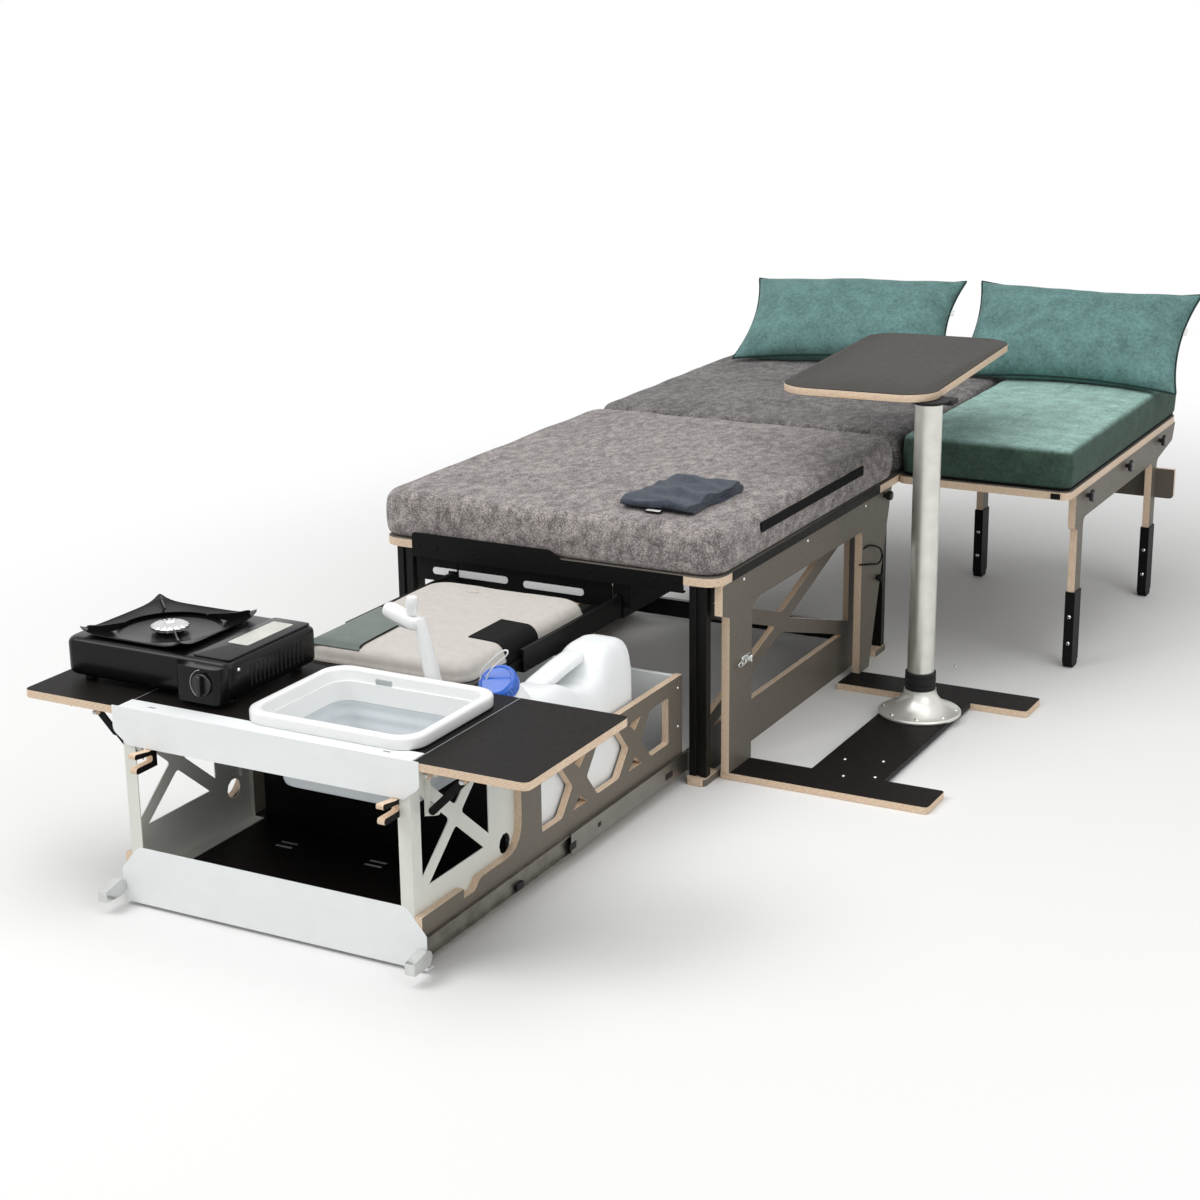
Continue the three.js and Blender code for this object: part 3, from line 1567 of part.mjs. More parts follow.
add('post_front_left', post(-1, true), blackMetal);
add('post_front_right', post(1, true), blackMetal);
add('rear_frame', rearFrame(), blackMetal);
add('front_fascia', frontFascia(), blackMetal);
add('deck_front', frontDeck(), greyPly);
add('deck_rear', rearDeck(), greyPly);
add('side_frame', sideFrame(), greyPly);
add('side_deck', sideDeck(), greyPly);
add('side_frame_outer', sideRail(), greyPly);
add('rear_brace', rearBrace(), greyPly);
add('leg_centre_rear', hangingLeg(centreLegX), greyPly);
add('leg_left_rear', hangingLeg(-centreLegX), greyPly);
const outerLegX = sideDeckRight - frameThick / 2;
add('sleeve_front_right', legSleeve(outerLegX, sideFrameFront + sideFrameStep), blackMetal);
add('sleeve_rear_right', legSleeve(outerLegX, sideRearLeg), blackMetal);
add('sleeve_centre_rear', legSleeve(centreLegX, centreLegY), blackMetal);
add('sleeve_left_rear', legSleeve(-centreLegX, centreLegY), blackMetal);

const bedHalf = deckWidth / 2 - mattressInset;
const towelX = bedHalf - towelSideStep;
const bedBottom = deckTop + seat;
const bedFront = -mattressInset;
const bedRear = deckRear - mattressInset;
const rearStart = mattressSplit + mattressGap;
const frontHalf = cushion(-bedHalf, bedHalf, bedFront, mattressSplit, bedBottom, mattressForm);
const rearHalf = cushion(-bedHalf, bedHalf, rearStart, bedRear, bedBottom, mattressForm);
add('mattress_front', frontHalf, greyVelour);
add('mattress_rear', rearHalf, greyVelour);
const cushionLeft = sideDeckLeft + cushionInset;
const cushionRight = sideDeckRight - cushionInset;
const sideCushion = cushion(cushionLeft, cushionRight, rearStart, bedRear, bedBottom, mattressForm);
add('side_cushion', sideCushion, greenVelvet);
add('pillow_left', pillow(pillowLeftX, 1), greenVelvet);
add('pillow_right', pillow(pillowRightX, -1), greenVelvet);
add('towel', towel(), navyCotton);

add('table_base', tableBase(), blackFilm);
add('pedestal_cone', pedestalCone(), castAluminium);
add('table_tube', tableTube(), castAluminium);
add('tabletop', tableTop(), greyPly);

add('kitchen_skirt', drawerSkirt(), whiteSteel);
add('kitchen_rail', frontRail(), whiteSteel);
add('kitchen_floor', drawerFloor(), blackFilm);
add('worktop', worktop(), blackFilm);
add('drawer_back', drawerBack(), whiteSteel);
[-1, 1].forEach((side) => {
  const hand = sideName(side);
  add(`side_panel_${hand}`, sidePanel(side), greyPly);
  add(`slide_outer_${hand}`, slideOuter(side), slideSteel);
  add(`slide_middle_${hand}`, slideMiddle(side), slideSteel);
  add(`drawer_side_${hand}`, drawerSide(side), greyPly);
  add(`kitchen_side_${hand}`, housingSide(side), whiteSteel);
  add(`wing_${hand}`, wing(side), blackFilm);
  add(`wing_link_upper_${hand}`, link(side, true), blackMetal);
  add(`wing_link_lower_${hand}`, link(side, false), blackMetal);
  add(`lever_${hand}`, releaseLever(side), slideSteel);
});

add('basin', basin(), whitePlastic);
add('faucet', tap(), whitePlastic);
add('stove_body', stoveBody(), enamel);
add('pan_support', panSupport(), enamel);
const knobX = stoveX + stoveWidth / 2 - stovePanelMargin - stovePanelWidth * lesserRoundShare;
const knobY = stoveY - stoveDepth / 2 - stovePanelDepth - seat;
const knobZ = counterTop + seat + stoveFootHeight + stoveBodyHeight / 2;
add('stove_knob', stoveKnob().rotate([90, 0, 0]).translate([knobX, knobY, knobZ]), blackMetal);
add('canister', canister(), milkyPlastic);
add('canister_cap', canisterCap(), bluePlastic);
add('upper_track', upperTrack(), blackMetal);
add('upper_carriage', upperCarriage(), blackMetal);
add('upper_tray', upperTray(), blackMetal);
add('canvas_bag', canvasBag(), canvas);

// The origin goes to the middle of the object's footprint on the floor.
const extent = new THREE.Box3().setFromObject(model);
const middle = extent.getCenter(new THREE.Vector3());
model.children.forEach((mesh) => mesh.geometry.translate(-middle.x, -middle.y, -extent.min.z));

export default model;
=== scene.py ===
"""Dresses the van camping box and its pull-out kitchen with boards, metals, fabrics and small fittings.

Shapes are worked out in millimetres from the middle of the box front on the floor, x across the bed,
y towards the pillows, z up, and are moved into the model's frame in metres when a mesh is made.
"""

import json
import logging
import math
from dataclasses import dataclass
from enum import Enum
from typing import Iterable, Sequence

import bmesh
import bpy
import numpy as np
from mathutils import Matrix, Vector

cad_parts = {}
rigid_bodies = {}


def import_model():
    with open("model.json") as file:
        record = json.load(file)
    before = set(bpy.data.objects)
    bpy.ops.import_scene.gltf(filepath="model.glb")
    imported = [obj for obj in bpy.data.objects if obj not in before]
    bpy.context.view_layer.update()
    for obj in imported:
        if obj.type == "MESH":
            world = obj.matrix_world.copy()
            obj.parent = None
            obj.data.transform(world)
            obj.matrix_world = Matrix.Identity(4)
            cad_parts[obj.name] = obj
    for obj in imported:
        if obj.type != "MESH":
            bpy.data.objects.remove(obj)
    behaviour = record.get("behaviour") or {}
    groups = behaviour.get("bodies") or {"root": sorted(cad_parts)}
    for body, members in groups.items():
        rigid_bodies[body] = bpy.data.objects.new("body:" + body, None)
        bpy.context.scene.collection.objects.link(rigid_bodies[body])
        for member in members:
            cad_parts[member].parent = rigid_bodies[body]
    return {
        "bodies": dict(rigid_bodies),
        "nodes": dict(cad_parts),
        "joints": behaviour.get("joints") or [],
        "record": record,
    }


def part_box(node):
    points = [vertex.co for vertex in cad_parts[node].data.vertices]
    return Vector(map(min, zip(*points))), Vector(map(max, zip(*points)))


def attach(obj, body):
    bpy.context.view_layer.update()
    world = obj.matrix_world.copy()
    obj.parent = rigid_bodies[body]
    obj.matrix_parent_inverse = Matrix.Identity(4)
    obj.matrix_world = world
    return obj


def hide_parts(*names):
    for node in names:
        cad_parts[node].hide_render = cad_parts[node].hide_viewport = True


LOG = logging.getLogger("camping_box")
MM = 0.001
FULL_TURN = 2.0 * math.pi
Point = Sequence[float]


class Axis(Enum):
    """The direction that a board's thickness or a bar's length runs in."""

    X = 0
    Y = 1
    Z = 2


class Face(Enum):
    """What covers the faces of a plywood board; its edges always show the plies."""

    GREY = "grey laminate"
    FILM = "black film"
    MESH = "fine mesh film"
    BIRCH = "bare birch"


# Shapes: arrays of points with the faces that join them


@dataclass
class Surface:
    """Points in millimetres and the faces that join them by index."""

    points: np.ndarray
    faces: list

    def moved(self, x: float = 0.0, y: float = 0.0, z: float = 0.0) -> "Surface":
        """The same surface shifted."""
        return Surface(self.points + np.array([x, y, z]), self.faces)

    def turned(self, axis: Axis, degrees: float, about: Point = (0, 0, 0)) -> "Surface":
        """The surface turned about an axis through a point: p' = R (p - c) + c.

        Args:
            axis: Direction of the axis.
            degrees: Angle, by the right hand.
            about: A point on the axis.

        Returns:
            The turned surface.
        """
        spin = np.array(Matrix.Rotation(math.radians(degrees), 3, axis.name))
        centre = np.array(about, float)
        return Surface((self.points - centre) @ spin.T + centre, self.faces)

    def laid(self, axis: Axis) -> "Surface":
        """The surface with its own z laid along an axis: (u, v, w) becomes (w, u, v) or (u, w, v)."""
        order = {Axis.X: [2, 0, 1], Axis.Y: [0, 2, 1], Axis.Z: [0, 1, 2]}[axis]
        return Surface(self.points[:, order], self.faces)


def joined(parts: Iterable[Surface]) -> Surface:
    """Several surfaces as one.

    Args:
        parts: The surfaces.

    Returns:
        One surface with all their points and faces.
    """
    points, faces, start = [], [], 0
    for part in parts:
        points.append(part.points)
        faces += [[index + start for index in face] for face in part.faces]
        start += len(part.points)
    return Surface(np.concatenate(points), faces)


def skin(points: np.ndarray, around: bool = False, along: bool = False, ends: bool = False) -> Surface:
    """Faces between the neighbours of a grid of points.

    Args:
        points: Rows by columns by 3.
        around: The last column meets the first.
        along: The last row meets the first.
        ends: The first and last rows are closed by a face.

    Returns:
        The surface.
    """
    rows, columns = points.shape[:2]
    index = np.arange(rows * columns).reshape(rows, columns)
    wide = np.concatenate([index, index[:, :1]], axis=1) if around else index
    if along:
        wide = np.concatenate([wide, wide[:1]], axis=0)
    quads = np.stack([wide[:-1, :-1], wide[:-1, 1:], wide[1:, 1:], wide[1:, :-1]], axis=-1)
    faces = quads.reshape(-1, 4).tolist()
    if ends:
        faces += [index[0][::-1].tolist(), index[-1].tolist()]
    return Surface(points.reshape(-1, 3), faces)


def unit(vectors: np.ndarray) -> np.ndarray:
    """Vectors over their lengths."""
    return vectors / np.maximum(np.linalg.norm(vectors, axis=-1, keepdims=True), 1e-9)


def full_turn(steps: int) -> np.ndarray:
    """Angles spaced evenly over a full turn."""
    return np.arange(steps) * FULL_TURN / steps


def circle(radius: float, steps: int = 12) -> np.ndarray:
    """Pairs (u, v) round a circle."""
    turn = full_turn(steps)
    return radius * np.stack([np.cos(turn), np.sin(turn)], axis=1)


def lobed(steps: int, lobes: int, depth: float) -> np.ndarray:
    """Pairs round a circle of radius 1 with lobes: radius = 1 + d cos(n t)."""
    return circle(1.0, steps) * (1 + depth * np.cos(lobes * full_turn(steps)))[:, None]


def level_ring(ring: np.ndarray, height: float) -> np.ndarray:
    """A flat ring's pairs as points at one height."""
    return np.column_stack([ring, np.full(len(ring), height)])


def round_rims(low: float, high: float, edge: float, steps: int) -> tuple[np.ndarray, np.ndarray]:
    """Insets and heights of quarter-round rims: inset = e (1 - sin t), rise = e (1 - cos t).

    Args:
        low: Height of the underside.
        high: Height of the top.
        edge: Radius of the rims.
        steps: Places on each rim.

    Returns:
        The insets and the heights, from the underside to the top.
    """
    turn = np.linspace(0, math.pi / 2, steps)
    inset, rise = edge * (1 - np.sin(turn)), edge * (1 - np.cos(turn))
    return np.concatenate([inset, inset[::-1]]), np.concatenate([low + rise, high - rise[::-1]])


def lathe(profile: Sequence[Point], centre: Point, axis: Point = (0, 0, 1), steps: int = 40) -> Surface:
    """Radius and height pairs carried round an axis: p = c + h a + r (s cos t + o sin t).

    Args:
        profile: Pairs of radius and height, from the low end to the high one.
        centre: Point that heights start from.
        axis: Direction of the axis.
        steps: Points in a full turn.

    Returns:
        The closed surface.
    """
    line = unit(np.array(axis, float))
    side = unit(np.cross(line, [0.0, 1.0, 0.0] if abs(line[1]) < 0.9 else [1.0, 0.0, 0.0]))
    other = np.cross(line, side)
    turn = full_turn(steps)
    ring = np.cos(turn)[:, None] * side + np.sin(turn)[:, None] * other
    radius, height = np.array(profile, float).T
    points = np.array(centre, float) + height[:, None, None] * line + radius[:, None, None] * ring[None]
    return skin(points, around=True, ends=True)


def carried(path: np.ndarray, profile: np.ndarray, up: Point = (0, 0, 1), closed: bool = False,
            swell: np.ndarray | None = None) -> Surface:
    """A flat profile carried along a path: p = path + u side + v top, where side is ahead x up.

    Args:
        path: Points along the middle line.
        profile: Pairs (u, v) round the section.
        up: Direction that the section's v keeps to.
        closed: The path's end meets its start.
        swell: A factor on the section at each point of the path.

    Returns:
        The closed tube or ring.
    """
    path = np.asarray(path, float)
    ahead = np.roll(path, -1, 0) - np.roll(path, 1, 0) if closed else np.gradient(path, axis=0)
    ahead = unit(ahead)
    side = unit(np.cross(ahead, np.array(up, float)))
    top = np.cross(side, ahead)
    size = np.ones(len(path)) if swell is None else swell
    points = (path[:, None, :] + (size[:, None] * profile[None, :, 0])[..., None] * side[:, None, :]
              + (size[:, None] * profile[None, :, 1])[..., None] * top[:, None, :])
    return skin(points, around=True, along=closed, ends=not closed)


def oval(width: float, height: float, steps: int = 16, power: float = 2.0) -> np.ndarray:
    """Pairs round a squared circle: |2u/w|^n + |2v/h|^n = 1.

    Args:
        width: Full size along u.
        height: Full size along v.
        steps: Number of pairs.
        power: 2 is an ellipse, more is squarer.

    Returns:
        The pairs.
    """
    wave = circle(1.0, steps)
    return np.sign(wave) * np.abs(wave) ** (2.0 / power) * np.array([width, height]) / 2


def through(knots: Sequence[Point], count: int) -> np.ndarray:
    """A smooth line through knots, a cubic between each two whose slope follows the knots beside them.

    Args:
        knots: Points that the line passes.
        count: Points to give back.

    Returns:
        The points along the line.
    """
    knots = np.array(knots, float)
    padded = np.concatenate([2 * knots[:1] - knots[1:2], knots, 2 * knots[-1:] - knots[-2:-1]])
    place = np.linspace(0, len(knots) - 1, count)
    first = np.minimum(place.astype(int), len(knots) - 2)
    t = (place - first)[:, None]
    a, b, c, d = (padded[first + step] for step in range(4))
    square, cube = 2 * a - 5 * b + 4 * c - d, 3 * b - a - 3 * c + d
    return 0.5 * (2 * b + (c - a) * t + square * t**2 + cube * t**3)


def rounded_ring(x0: float, x1: float, y0: float, y1: float, radius: float, side: int = 1,
                 corner: int = 6) -> np.ndarray:
    """Points round a rectangle with round corners, as many for every size.

    Args:
        x0: Low x.
        x1: High x.
        y0: Low y.
        y1: High y.
        radius: Radius of the corners.
        side: Steps along each straight side.
        corner: Steps round each corner.

    Returns:
        The pairs, counter-clockwise.
    """
    round_off = max(min(radius, (x1 - x0) / 2.01, (y1 - y0) / 2.01), 0.01)
    turn = np.linspace(0, math.pi / 2, corner + 1)
    centres = [(x1 - round_off, y0 + round_off), (x1 - round_off, y1 - round_off),
               (x0 + round_off, y1 - round_off), (x0 + round_off, y0 + round_off)]
    arcs = []
    for quarter, (cx, cy) in enumerate(centres):
        angle = turn + (quarter - 1) * math.pi / 2
        arcs.append(np.stack([cx + round_off * np.cos(angle), cy + round_off * np.sin(angle)], axis=1))
    share = np.linspace(0, 1, side + 1)[1:-1, None]
    pieces = []
    for arc, following in zip(arcs, arcs[1:] + arcs[:1]):
        pieces += [arc, arc[-1] + share * (following[0] - arc[-1])]
    return np.concatenate(pieces)


def stacked(rings: Sequence[np.ndarray], heights: Sequence[float]) -> Surface:
    """Level rings one above the other, closed at both ends."""
    points = [level_ring(ring, height) for ring, height in zip(rings, heights)]
    return skin(np.stack(points), around=True, ends=True)


def soft_block(low: Point, high: Point, corner: float, edge: float, axis: Axis = Axis.Z) -> Surface:
    """A block with round corners along one axis and quarter-round rims.

    Args:
        low: Lowest corner.
        high: Highest corner.
        corner: Radius of the corners round the axis.
        edge: Radius of the two rims.
        axis: Direction that the round corners stand along.

    Returns:
        The closed surface.
    """
    order = {Axis.X: [1, 2, 0], Axis.Y: [0, 2, 1], Axis.Z: [0, 1, 2]}[axis]
    x0, y0, z0 = np.array(low, float)[order]
    x1, y1, z1 = np.array(high, float)[order]
    edge = min(edge, (z1 - z0) / 2.02)
    insets, heights = round_rims(z0, z1, edge, 4)
    rings = [rounded_ring(x0 + i, x1 - i, y0 + i, y1 - i, max(corner - i, 0.05)) for i in insets]
    return stacked(rings, heights).laid(axis)


def blocks(rows: Iterable[tuple], axis: Axis = Axis.Z) -> Surface:
    """Several soft blocks as one, each a lowest and a highest corner, a corner and a rim radius."""
    return joined(soft_block(*row, axis) for row in rows)


def outline(corners: Sequence[Point], steps: int = 6) -> np.ndarray:
    """Corners joined by lines and rounded: an arc's centre lies r / sin(half angle) along its bisector.

    Args:
        corners: Triples (u, v, radius), counter-clockwise.
        steps: Steps round each corner.

    Returns:
        The pairs round the shape.
    """
    data = np.array(corners, float)
    here, radius = data[:, :2], data[:, 2]
    back = unit(np.roll(here, 1, 0) - here)
    ahead = unit(np.roll(here, -1, 0) - here)
    half = np.arccos(np.clip((back * ahead).sum(1), -0.9999, 0.9999)) / 2
    centre = here + unit(back + ahead) * (radius / np.sin(half))[:, None]
    reach = (radius / np.tan(half))[:, None]
    first, last = here + back * reach - centre, here + ahead * reach - centre
    start = np.arctan2(first[:, 1], first[:, 0])
    sweep = np.arctan2(last[:, 1], last[:, 0]) - start
    sweep = (sweep + math.pi) % FULL_TURN - math.pi
    angle = start[:, None] + sweep[:, None] * np.linspace(0, 1, steps + 1)
    arc = np.stack([np.cos(angle), np.sin(angle)], axis=-1) * radius[:, None, None]
    return (centre[:, None, :] + arc).reshape(-1, 2)


def prism(shape: np.ndarray, low: float, high: float, axis: Axis = Axis.Z) -> Surface:
    """A flat shape carried straight along an axis, closed at both ends."""
    return stacked([shape, shape], [low, high]).laid(axis)


def ripples(x: np.ndarray, y: np.ndarray, length: float, seed: int, waves: int = 7) -> np.ndarray:
    """A soft uneven surface, the sum of sin(k (x cos a + y sin a) + p) over many directions a.

    Args:
        x: First coordinate in millimetres.
        y: Second coordinate.
        length: Typical wave length.
        seed: Which set of directions is drawn.
        waves: How many sines are added.

    Returns:
        Heights between about -1 and 1.
    """
    draw = np.random.default_rng(seed)
    total = np.zeros(np.broadcast(x, y).shape)
    for angle, phase, stretch in zip(draw.uniform(0, math.pi, waves), draw.uniform(0, FULL_TURN, waves),
                                     draw.uniform(0.6, 1.6, waves)):
        run = x * math.cos(angle) + y * math.sin(angle)
        total += np.sin(run * FULL_TURN / (length * stretch) + phase)
    return total / math.sqrt(waves)


def screw_heads(places: Sequence[Point], radius: float, axis: Point = (0, 0, 1)) -> Surface:
    """Domed heads with a round recess, one at each place.

    Args:
        places: Centres of the undersides.
        radius: Radius of a head.
        axis: Direction that the heads face.

    Returns:
        All heads as one surface.
    """
    shape = [(0, -0.5), (radius, -0.5), (radius, radius * 0.16), (radius * 0.8, radius * 0.42),
             (radius * 0.42, radius * 0.55), (radius * 0.36, radius * 0.24), (0, radius * 0.24)]
    return joined(lathe(shape, place, axis, 16) for place in places)


# Finishes: what each material looks like


def tone(red: float, green: float, blue: float) -> tuple:
    """A colour written as 0 to 255 on a screen, as the light values that the shader takes."""
    levels = np.array([red, green, blue]) / 255
    return (*np.where(levels <= 0.04045, levels / 12.92, ((levels + 0.055) / 1.055) ** 2.4), 1.0)


class Graph:
    """Short hand for one material's nodes."""

    def __init__(self, name: str) -> None:
        """Starts a material with its shader and the object's own coordinates."""
        self.material = bpy.data.materials.new(name)
        self.material.use_nodes = True
        self.tree = self.material.node_tree
        self.shader = self.tree.nodes["Principled BSDF"]
        self.where = self.tree.nodes.new("ShaderNodeTexCoord")

    def fill(self, node: bpy.types.Node, socket: str | int, value: object) -> None:
        """Links a socket into a node's input, or writes a plain value there."""
        if isinstance(value, bpy.types.NodeSocket):
            self.tree.links.new(value, node.inputs[socket])
        else:
            node.inputs[socket].default_value = value

    def node(self, kind: str, **inputs: object) -> bpy.types.Node:
        """A new shader node whose inputs are filled by name, with underscores for spaces."""
        node = self.tree.nodes.new("ShaderNode" + kind)
        for name, value in inputs.items():
            self.fill(node, name.replace("_", " "), value)
        return node

    def math(self, operation: str, first: object, second: object = 0.0) -> bpy.types.NodeSocket:
        """One step of arithmetic on sockets or numbers."""
        node = self.node("Math")
        node.operation = operation
        self.fill(node, 0, first)
        self.fill(node, 1, second)
        return node.outputs[0]

    def times(self, first: object, second: object) -> bpy.types.NodeSocket:
        """The product of two values."""
        return self.math("MULTIPLY", first, second)

    def plus(self, first: object, second: object) -> bpy.types.NodeSocket:
        """The sum of two values."""
        return self.math("ADD", first, second)

    def waves(self, axis: Axis, length_mm: float) -> bpy.types.NodeSocket:
        """A sine along one axis: sin(2 pi x / length)."""
        return self.math("SINE", self.times(self.part(axis), FULL_TURN / (length_mm * MM)))

    def stretched(self, factors: Point) -> bpy.types.NodeSocket:
        """Object coordinates with each axis multiplied."""
        return self.node("Mapping", Scale=factors, Vector=self.where.outputs["Object"]).outputs[0]

    def noise(self, scale: float, detail: float = 3.0,
              stretch: Point = (1, 1, 1)) -> bpy.types.NodeSocket:
        """Cloudy values about one half; the scale is in blobs per metre."""
        node = self.node("TexNoise", Scale=scale, Detail=detail, Vector=self.stretched(stretch))
        return node.outputs["Fac"]

    def spots(self, scale: float) -> bpy.types.NodeSocket:
        """Distance to the nearest of many scattered points."""
        node = self.node("TexVoronoi", Scale=scale, Vector=self.where.outputs["Object"])
        return node.outputs["Distance"]

    def part(self, axis: Axis, source: str = "Object") -> bpy.types.NodeSocket:
        """One coordinate of a point or of the surface's direction."""
        return self.node("SeparateXYZ", Vector=self.where.outputs[source]).outputs[axis.value]

    def ramp(self, value: bpy.types.NodeSocket, stops: Sequence[tuple]) -> bpy.types.NodeSocket:
        """A value turned into colours at the given places."""
        node = self.node("ValToRGB", Fac=value)
        bar = node.color_ramp.elements
        bar[0].position, bar[0].color = stops[0]
        bar[1].position, bar[1].color = stops[-1]
        for place, colour in stops[1:-1]:
            bar.new(place).color = colour
        return node.outputs["Color"]

    def blend(self, share: object, first: object, second: object) -> bpy.types.NodeSocket:
        """One colour over another by a share."""
        node = self.node("Mix")
        node.data_type = "RGBA"
        for socket, value in ((0, share), (6, first), (7, second)):
            self.fill(node, socket, value)
        return node.outputs[2]

    def spread(self, value: bpy.types.NodeSocket, low: float, high: float) -> bpy.types.NodeSocket:
        """A value from 0 to 1 laid over another range."""
        return self.node("MapRange", To_Min=low, To_Max=high, Value=value).outputs[0]

    def bump(self, height: bpy.types.NodeSocket, depth_mm: float, strength: float = 1.0) -> None:
        """Raises the surface by a height pattern, after any pattern laid before."""
        node = self.node("Bump", Strength=strength, Distance=depth_mm * MM, Height=height)
        earlier = self.shader.inputs["Normal"].links
        if earlier:
            self.tree.links.new(earlier[0].from_socket, node.inputs["Normal"])
        self.tree.links.new(node.outputs[0], self.shader.inputs["Normal"])

    def look(self, **values: object) -> bpy.types.Material:
        """Fills the shader's inputs by name, as node does, and gives the material back."""
        for name, value in values.items():
            self.fill(self.shader, name.replace("_", " "), value)
        return self.material


def shades(stops: Iterable[tuple]) -> list[tuple]:
    """Places from 0 to 1 with screen colours, as the stops of a colour ramp."""
    return [(place, tone(*colour)) for place, colour in stops]


PLY_TONES = ((0.1, (178, 142, 112)), (0.4, (214, 184, 154)), (0.62, (231, 209, 184)),
             (0.95, (240, 225, 205)))
BIRCH_TONES = ((0.3, (203, 170, 136)), (0.5, (216, 186, 152)), (0.72, (226, 200, 170)))
MESH_TONES = ((0.2, (27, 25, 22)), (0.8, (62, 58, 52)))
FILM_TONES = ((0.3, (20, 18, 17)), (0.7, (27, 24, 22)))
ZINC_TONES = ((0.3, (118, 115, 107)), (0.7, (148, 145, 137)))
DIAMOND_MM = 12.0
FILM_LINE_MM = 1.6
# Lowest roughness, highest roughness and shine of each board face
FACE_LOOKS = {Face.BIRCH: (0.42, 0.62, 0.4), Face.GREY: (0.36, 0.5, 0.22),
              Face.FILM: (0.42, 0.55, 0.08), Face.MESH: (0.42, 0.54, 0.07)}


@dataclass(frozen=True)
class Finish:
    """A finish: the record's slot that it belongs to and a name of its own."""

    slot: str
    name: str

    def material(self) -> bpy.types.Material:
        """The material, made anew."""
        raise NotImplementedError


@dataclass(frozen=True)
class Board(Finish):
    """Plywood: a covered or bare face, and edges whose plies alternate across the thickness."""

    axis: Axis
    face: Face
    grey: tuple = (112, 108, 101)
    ply_mm: float = 2.5
    slide_from: float = 0.0
    middle: float = 0.0

    def edge(self, graph: Graph) -> bpy.types.NodeSocket:
        """Birch plies: a sine of the height across the board, roughened by long fibres."""
        fibre = {Axis.X: (9, 1, 1), Axis.Y: (1, 9, 1), Axis.Z: (1, 1, 9)}[self.axis]
        grain = graph.noise(160.0, 4.0, fibre)
        height = graph.times(graph.part(self.axis), FULL_TURN / (self.ply_mm * MM))
        wave = graph.math("SINE", graph.plus(height, graph.times(grain, 3.2)))
        return graph.ramp(graph.plus(graph.times(wave, 0.3), graph.times(grain, 1.1)),
                          shades(PLY_TONES))

    def cover(self, graph: Graph) -> bpy.types.NodeSocket:
        """The colour of the board's face."""
        if self.face is Face.BIRCH:
            grain = graph.noise(38.0, 5.0, (1, 0.09, 1) if self.axis is not Axis.Y else (0.09, 1, 1))
            return graph.ramp(grain, shades(BIRCH_TONES))
        if self.face is Face.GREY:
            dark = tuple(int(level * 0.93) for level in self.grey)
            light = tuple(min(255, int(level * 1.06)) for level in self.grey)
            return graph.ramp(graph.noise(240.0, 5.0), shades(((0.3, dark), (0.7, light))))
        cloud = graph.noise(300.0, 4.0)
        if self.face is Face.MESH:
            diamonds = graph.times(*(graph.waves(axis, DIAMOND_MM) for axis in (Axis.X, Axis.Y)))
            return graph.ramp(graph.plus(cloud, graph.times(diamonds, 0.45)), shades(MESH_TONES))
        return graph.ramp(cloud, shades(FILM_TONES))

    def material(self) -> bpy.types.Material:
        """Chooses face or edge by how far the surface looks along the board's thickness."""
        graph = Graph(self.name)
        outward = graph.math("ABSOLUTE", graph.part(self.axis, "Normal"))
        on_face = graph.math("GREATER_THAN", outward, 0.6)
        colour = graph.blend(on_face, self.edge(graph), self.cover(graph))
        if self.face in (Face.FILM, Face.MESH):
            lines = graph.times(*(graph.waves(axis, FILM_LINE_MM) for axis in Axis
                                  if axis is not self.axis))
            graph.bump(lines, 0.05, 0.5)
        graph.bump(graph.noise(900.0, 3.0), 0.05, 0.4)
        smoothest, roughest, shine = FACE_LOOKS[self.face]
        roughness = graph.spread(graph.noise(70.0), smoothest, roughest)
        graph.look(Specular_IOR_Level=shine)
        if self.slide_from:
            away = graph.math("ABSOLUTE", graph.math("SUBTRACT", graph.part(Axis.X), self.middle))
            zinc = graph.math("GREATER_THAN", away, self.slide_from)
            colour = graph.blend(zinc, colour, graph.ramp(graph.noise(30.0, 4.0), shades(ZINC_TONES)))
            graph.look(Metallic=zinc)
        return graph.look(Base_Color=colour, Roughness=roughness)


@dataclass(frozen=True)
class Coating(Finish):
    """Powder coat, anodising, enamel or hard plastic: a colour with a fine grain."""

    colour: tuple
    roughness: float
    metallic: float = 0.0
    grain_mm: float = 0.03
    grain_scale: float = 1500.0
    coat: float = 0.0
    glow: float = 0.0
    mottle: float = 0.045
    shine: float = 0.5

    def material(self) -> bpy.types.Material:
        """The colour varies by the mottle's share, the roughness by up to three times as much."""
        graph = Graph(self.name)
        dark = tuple(level * (1 - self.mottle) for level in self.colour)
        light = tuple(min(255.0, level * (1 + self.mottle)) for level in self.colour)
        colour = graph.ramp(graph.noise(26.0, 4.0), shades(((0.3, dark), (0.7, light))))
        graph.bump(graph.noise(self.grain_scale, 2.0), self.grain_mm, 0.6)
        swing = min(0.15, self.mottle * 3)
        rough = graph.spread(graph.noise(55.0, 5.0), self.roughness * (1 - swing),
                             self.roughness * (1 + swing))
        graph.look(Coat_Weight=self.coat, Coat_Roughness=0.12, Metallic=self.metallic,
                   Specular_IOR_Level=self.shine)
        if self.glow:
            graph.look(Subsurface_Weight=self.glow, Subsurface_Radius=(0.02, 0.02, 0.02),
                       Subsurface_Scale=1.0)
        return graph.look(Base_Color=colour, Roughness=rough)


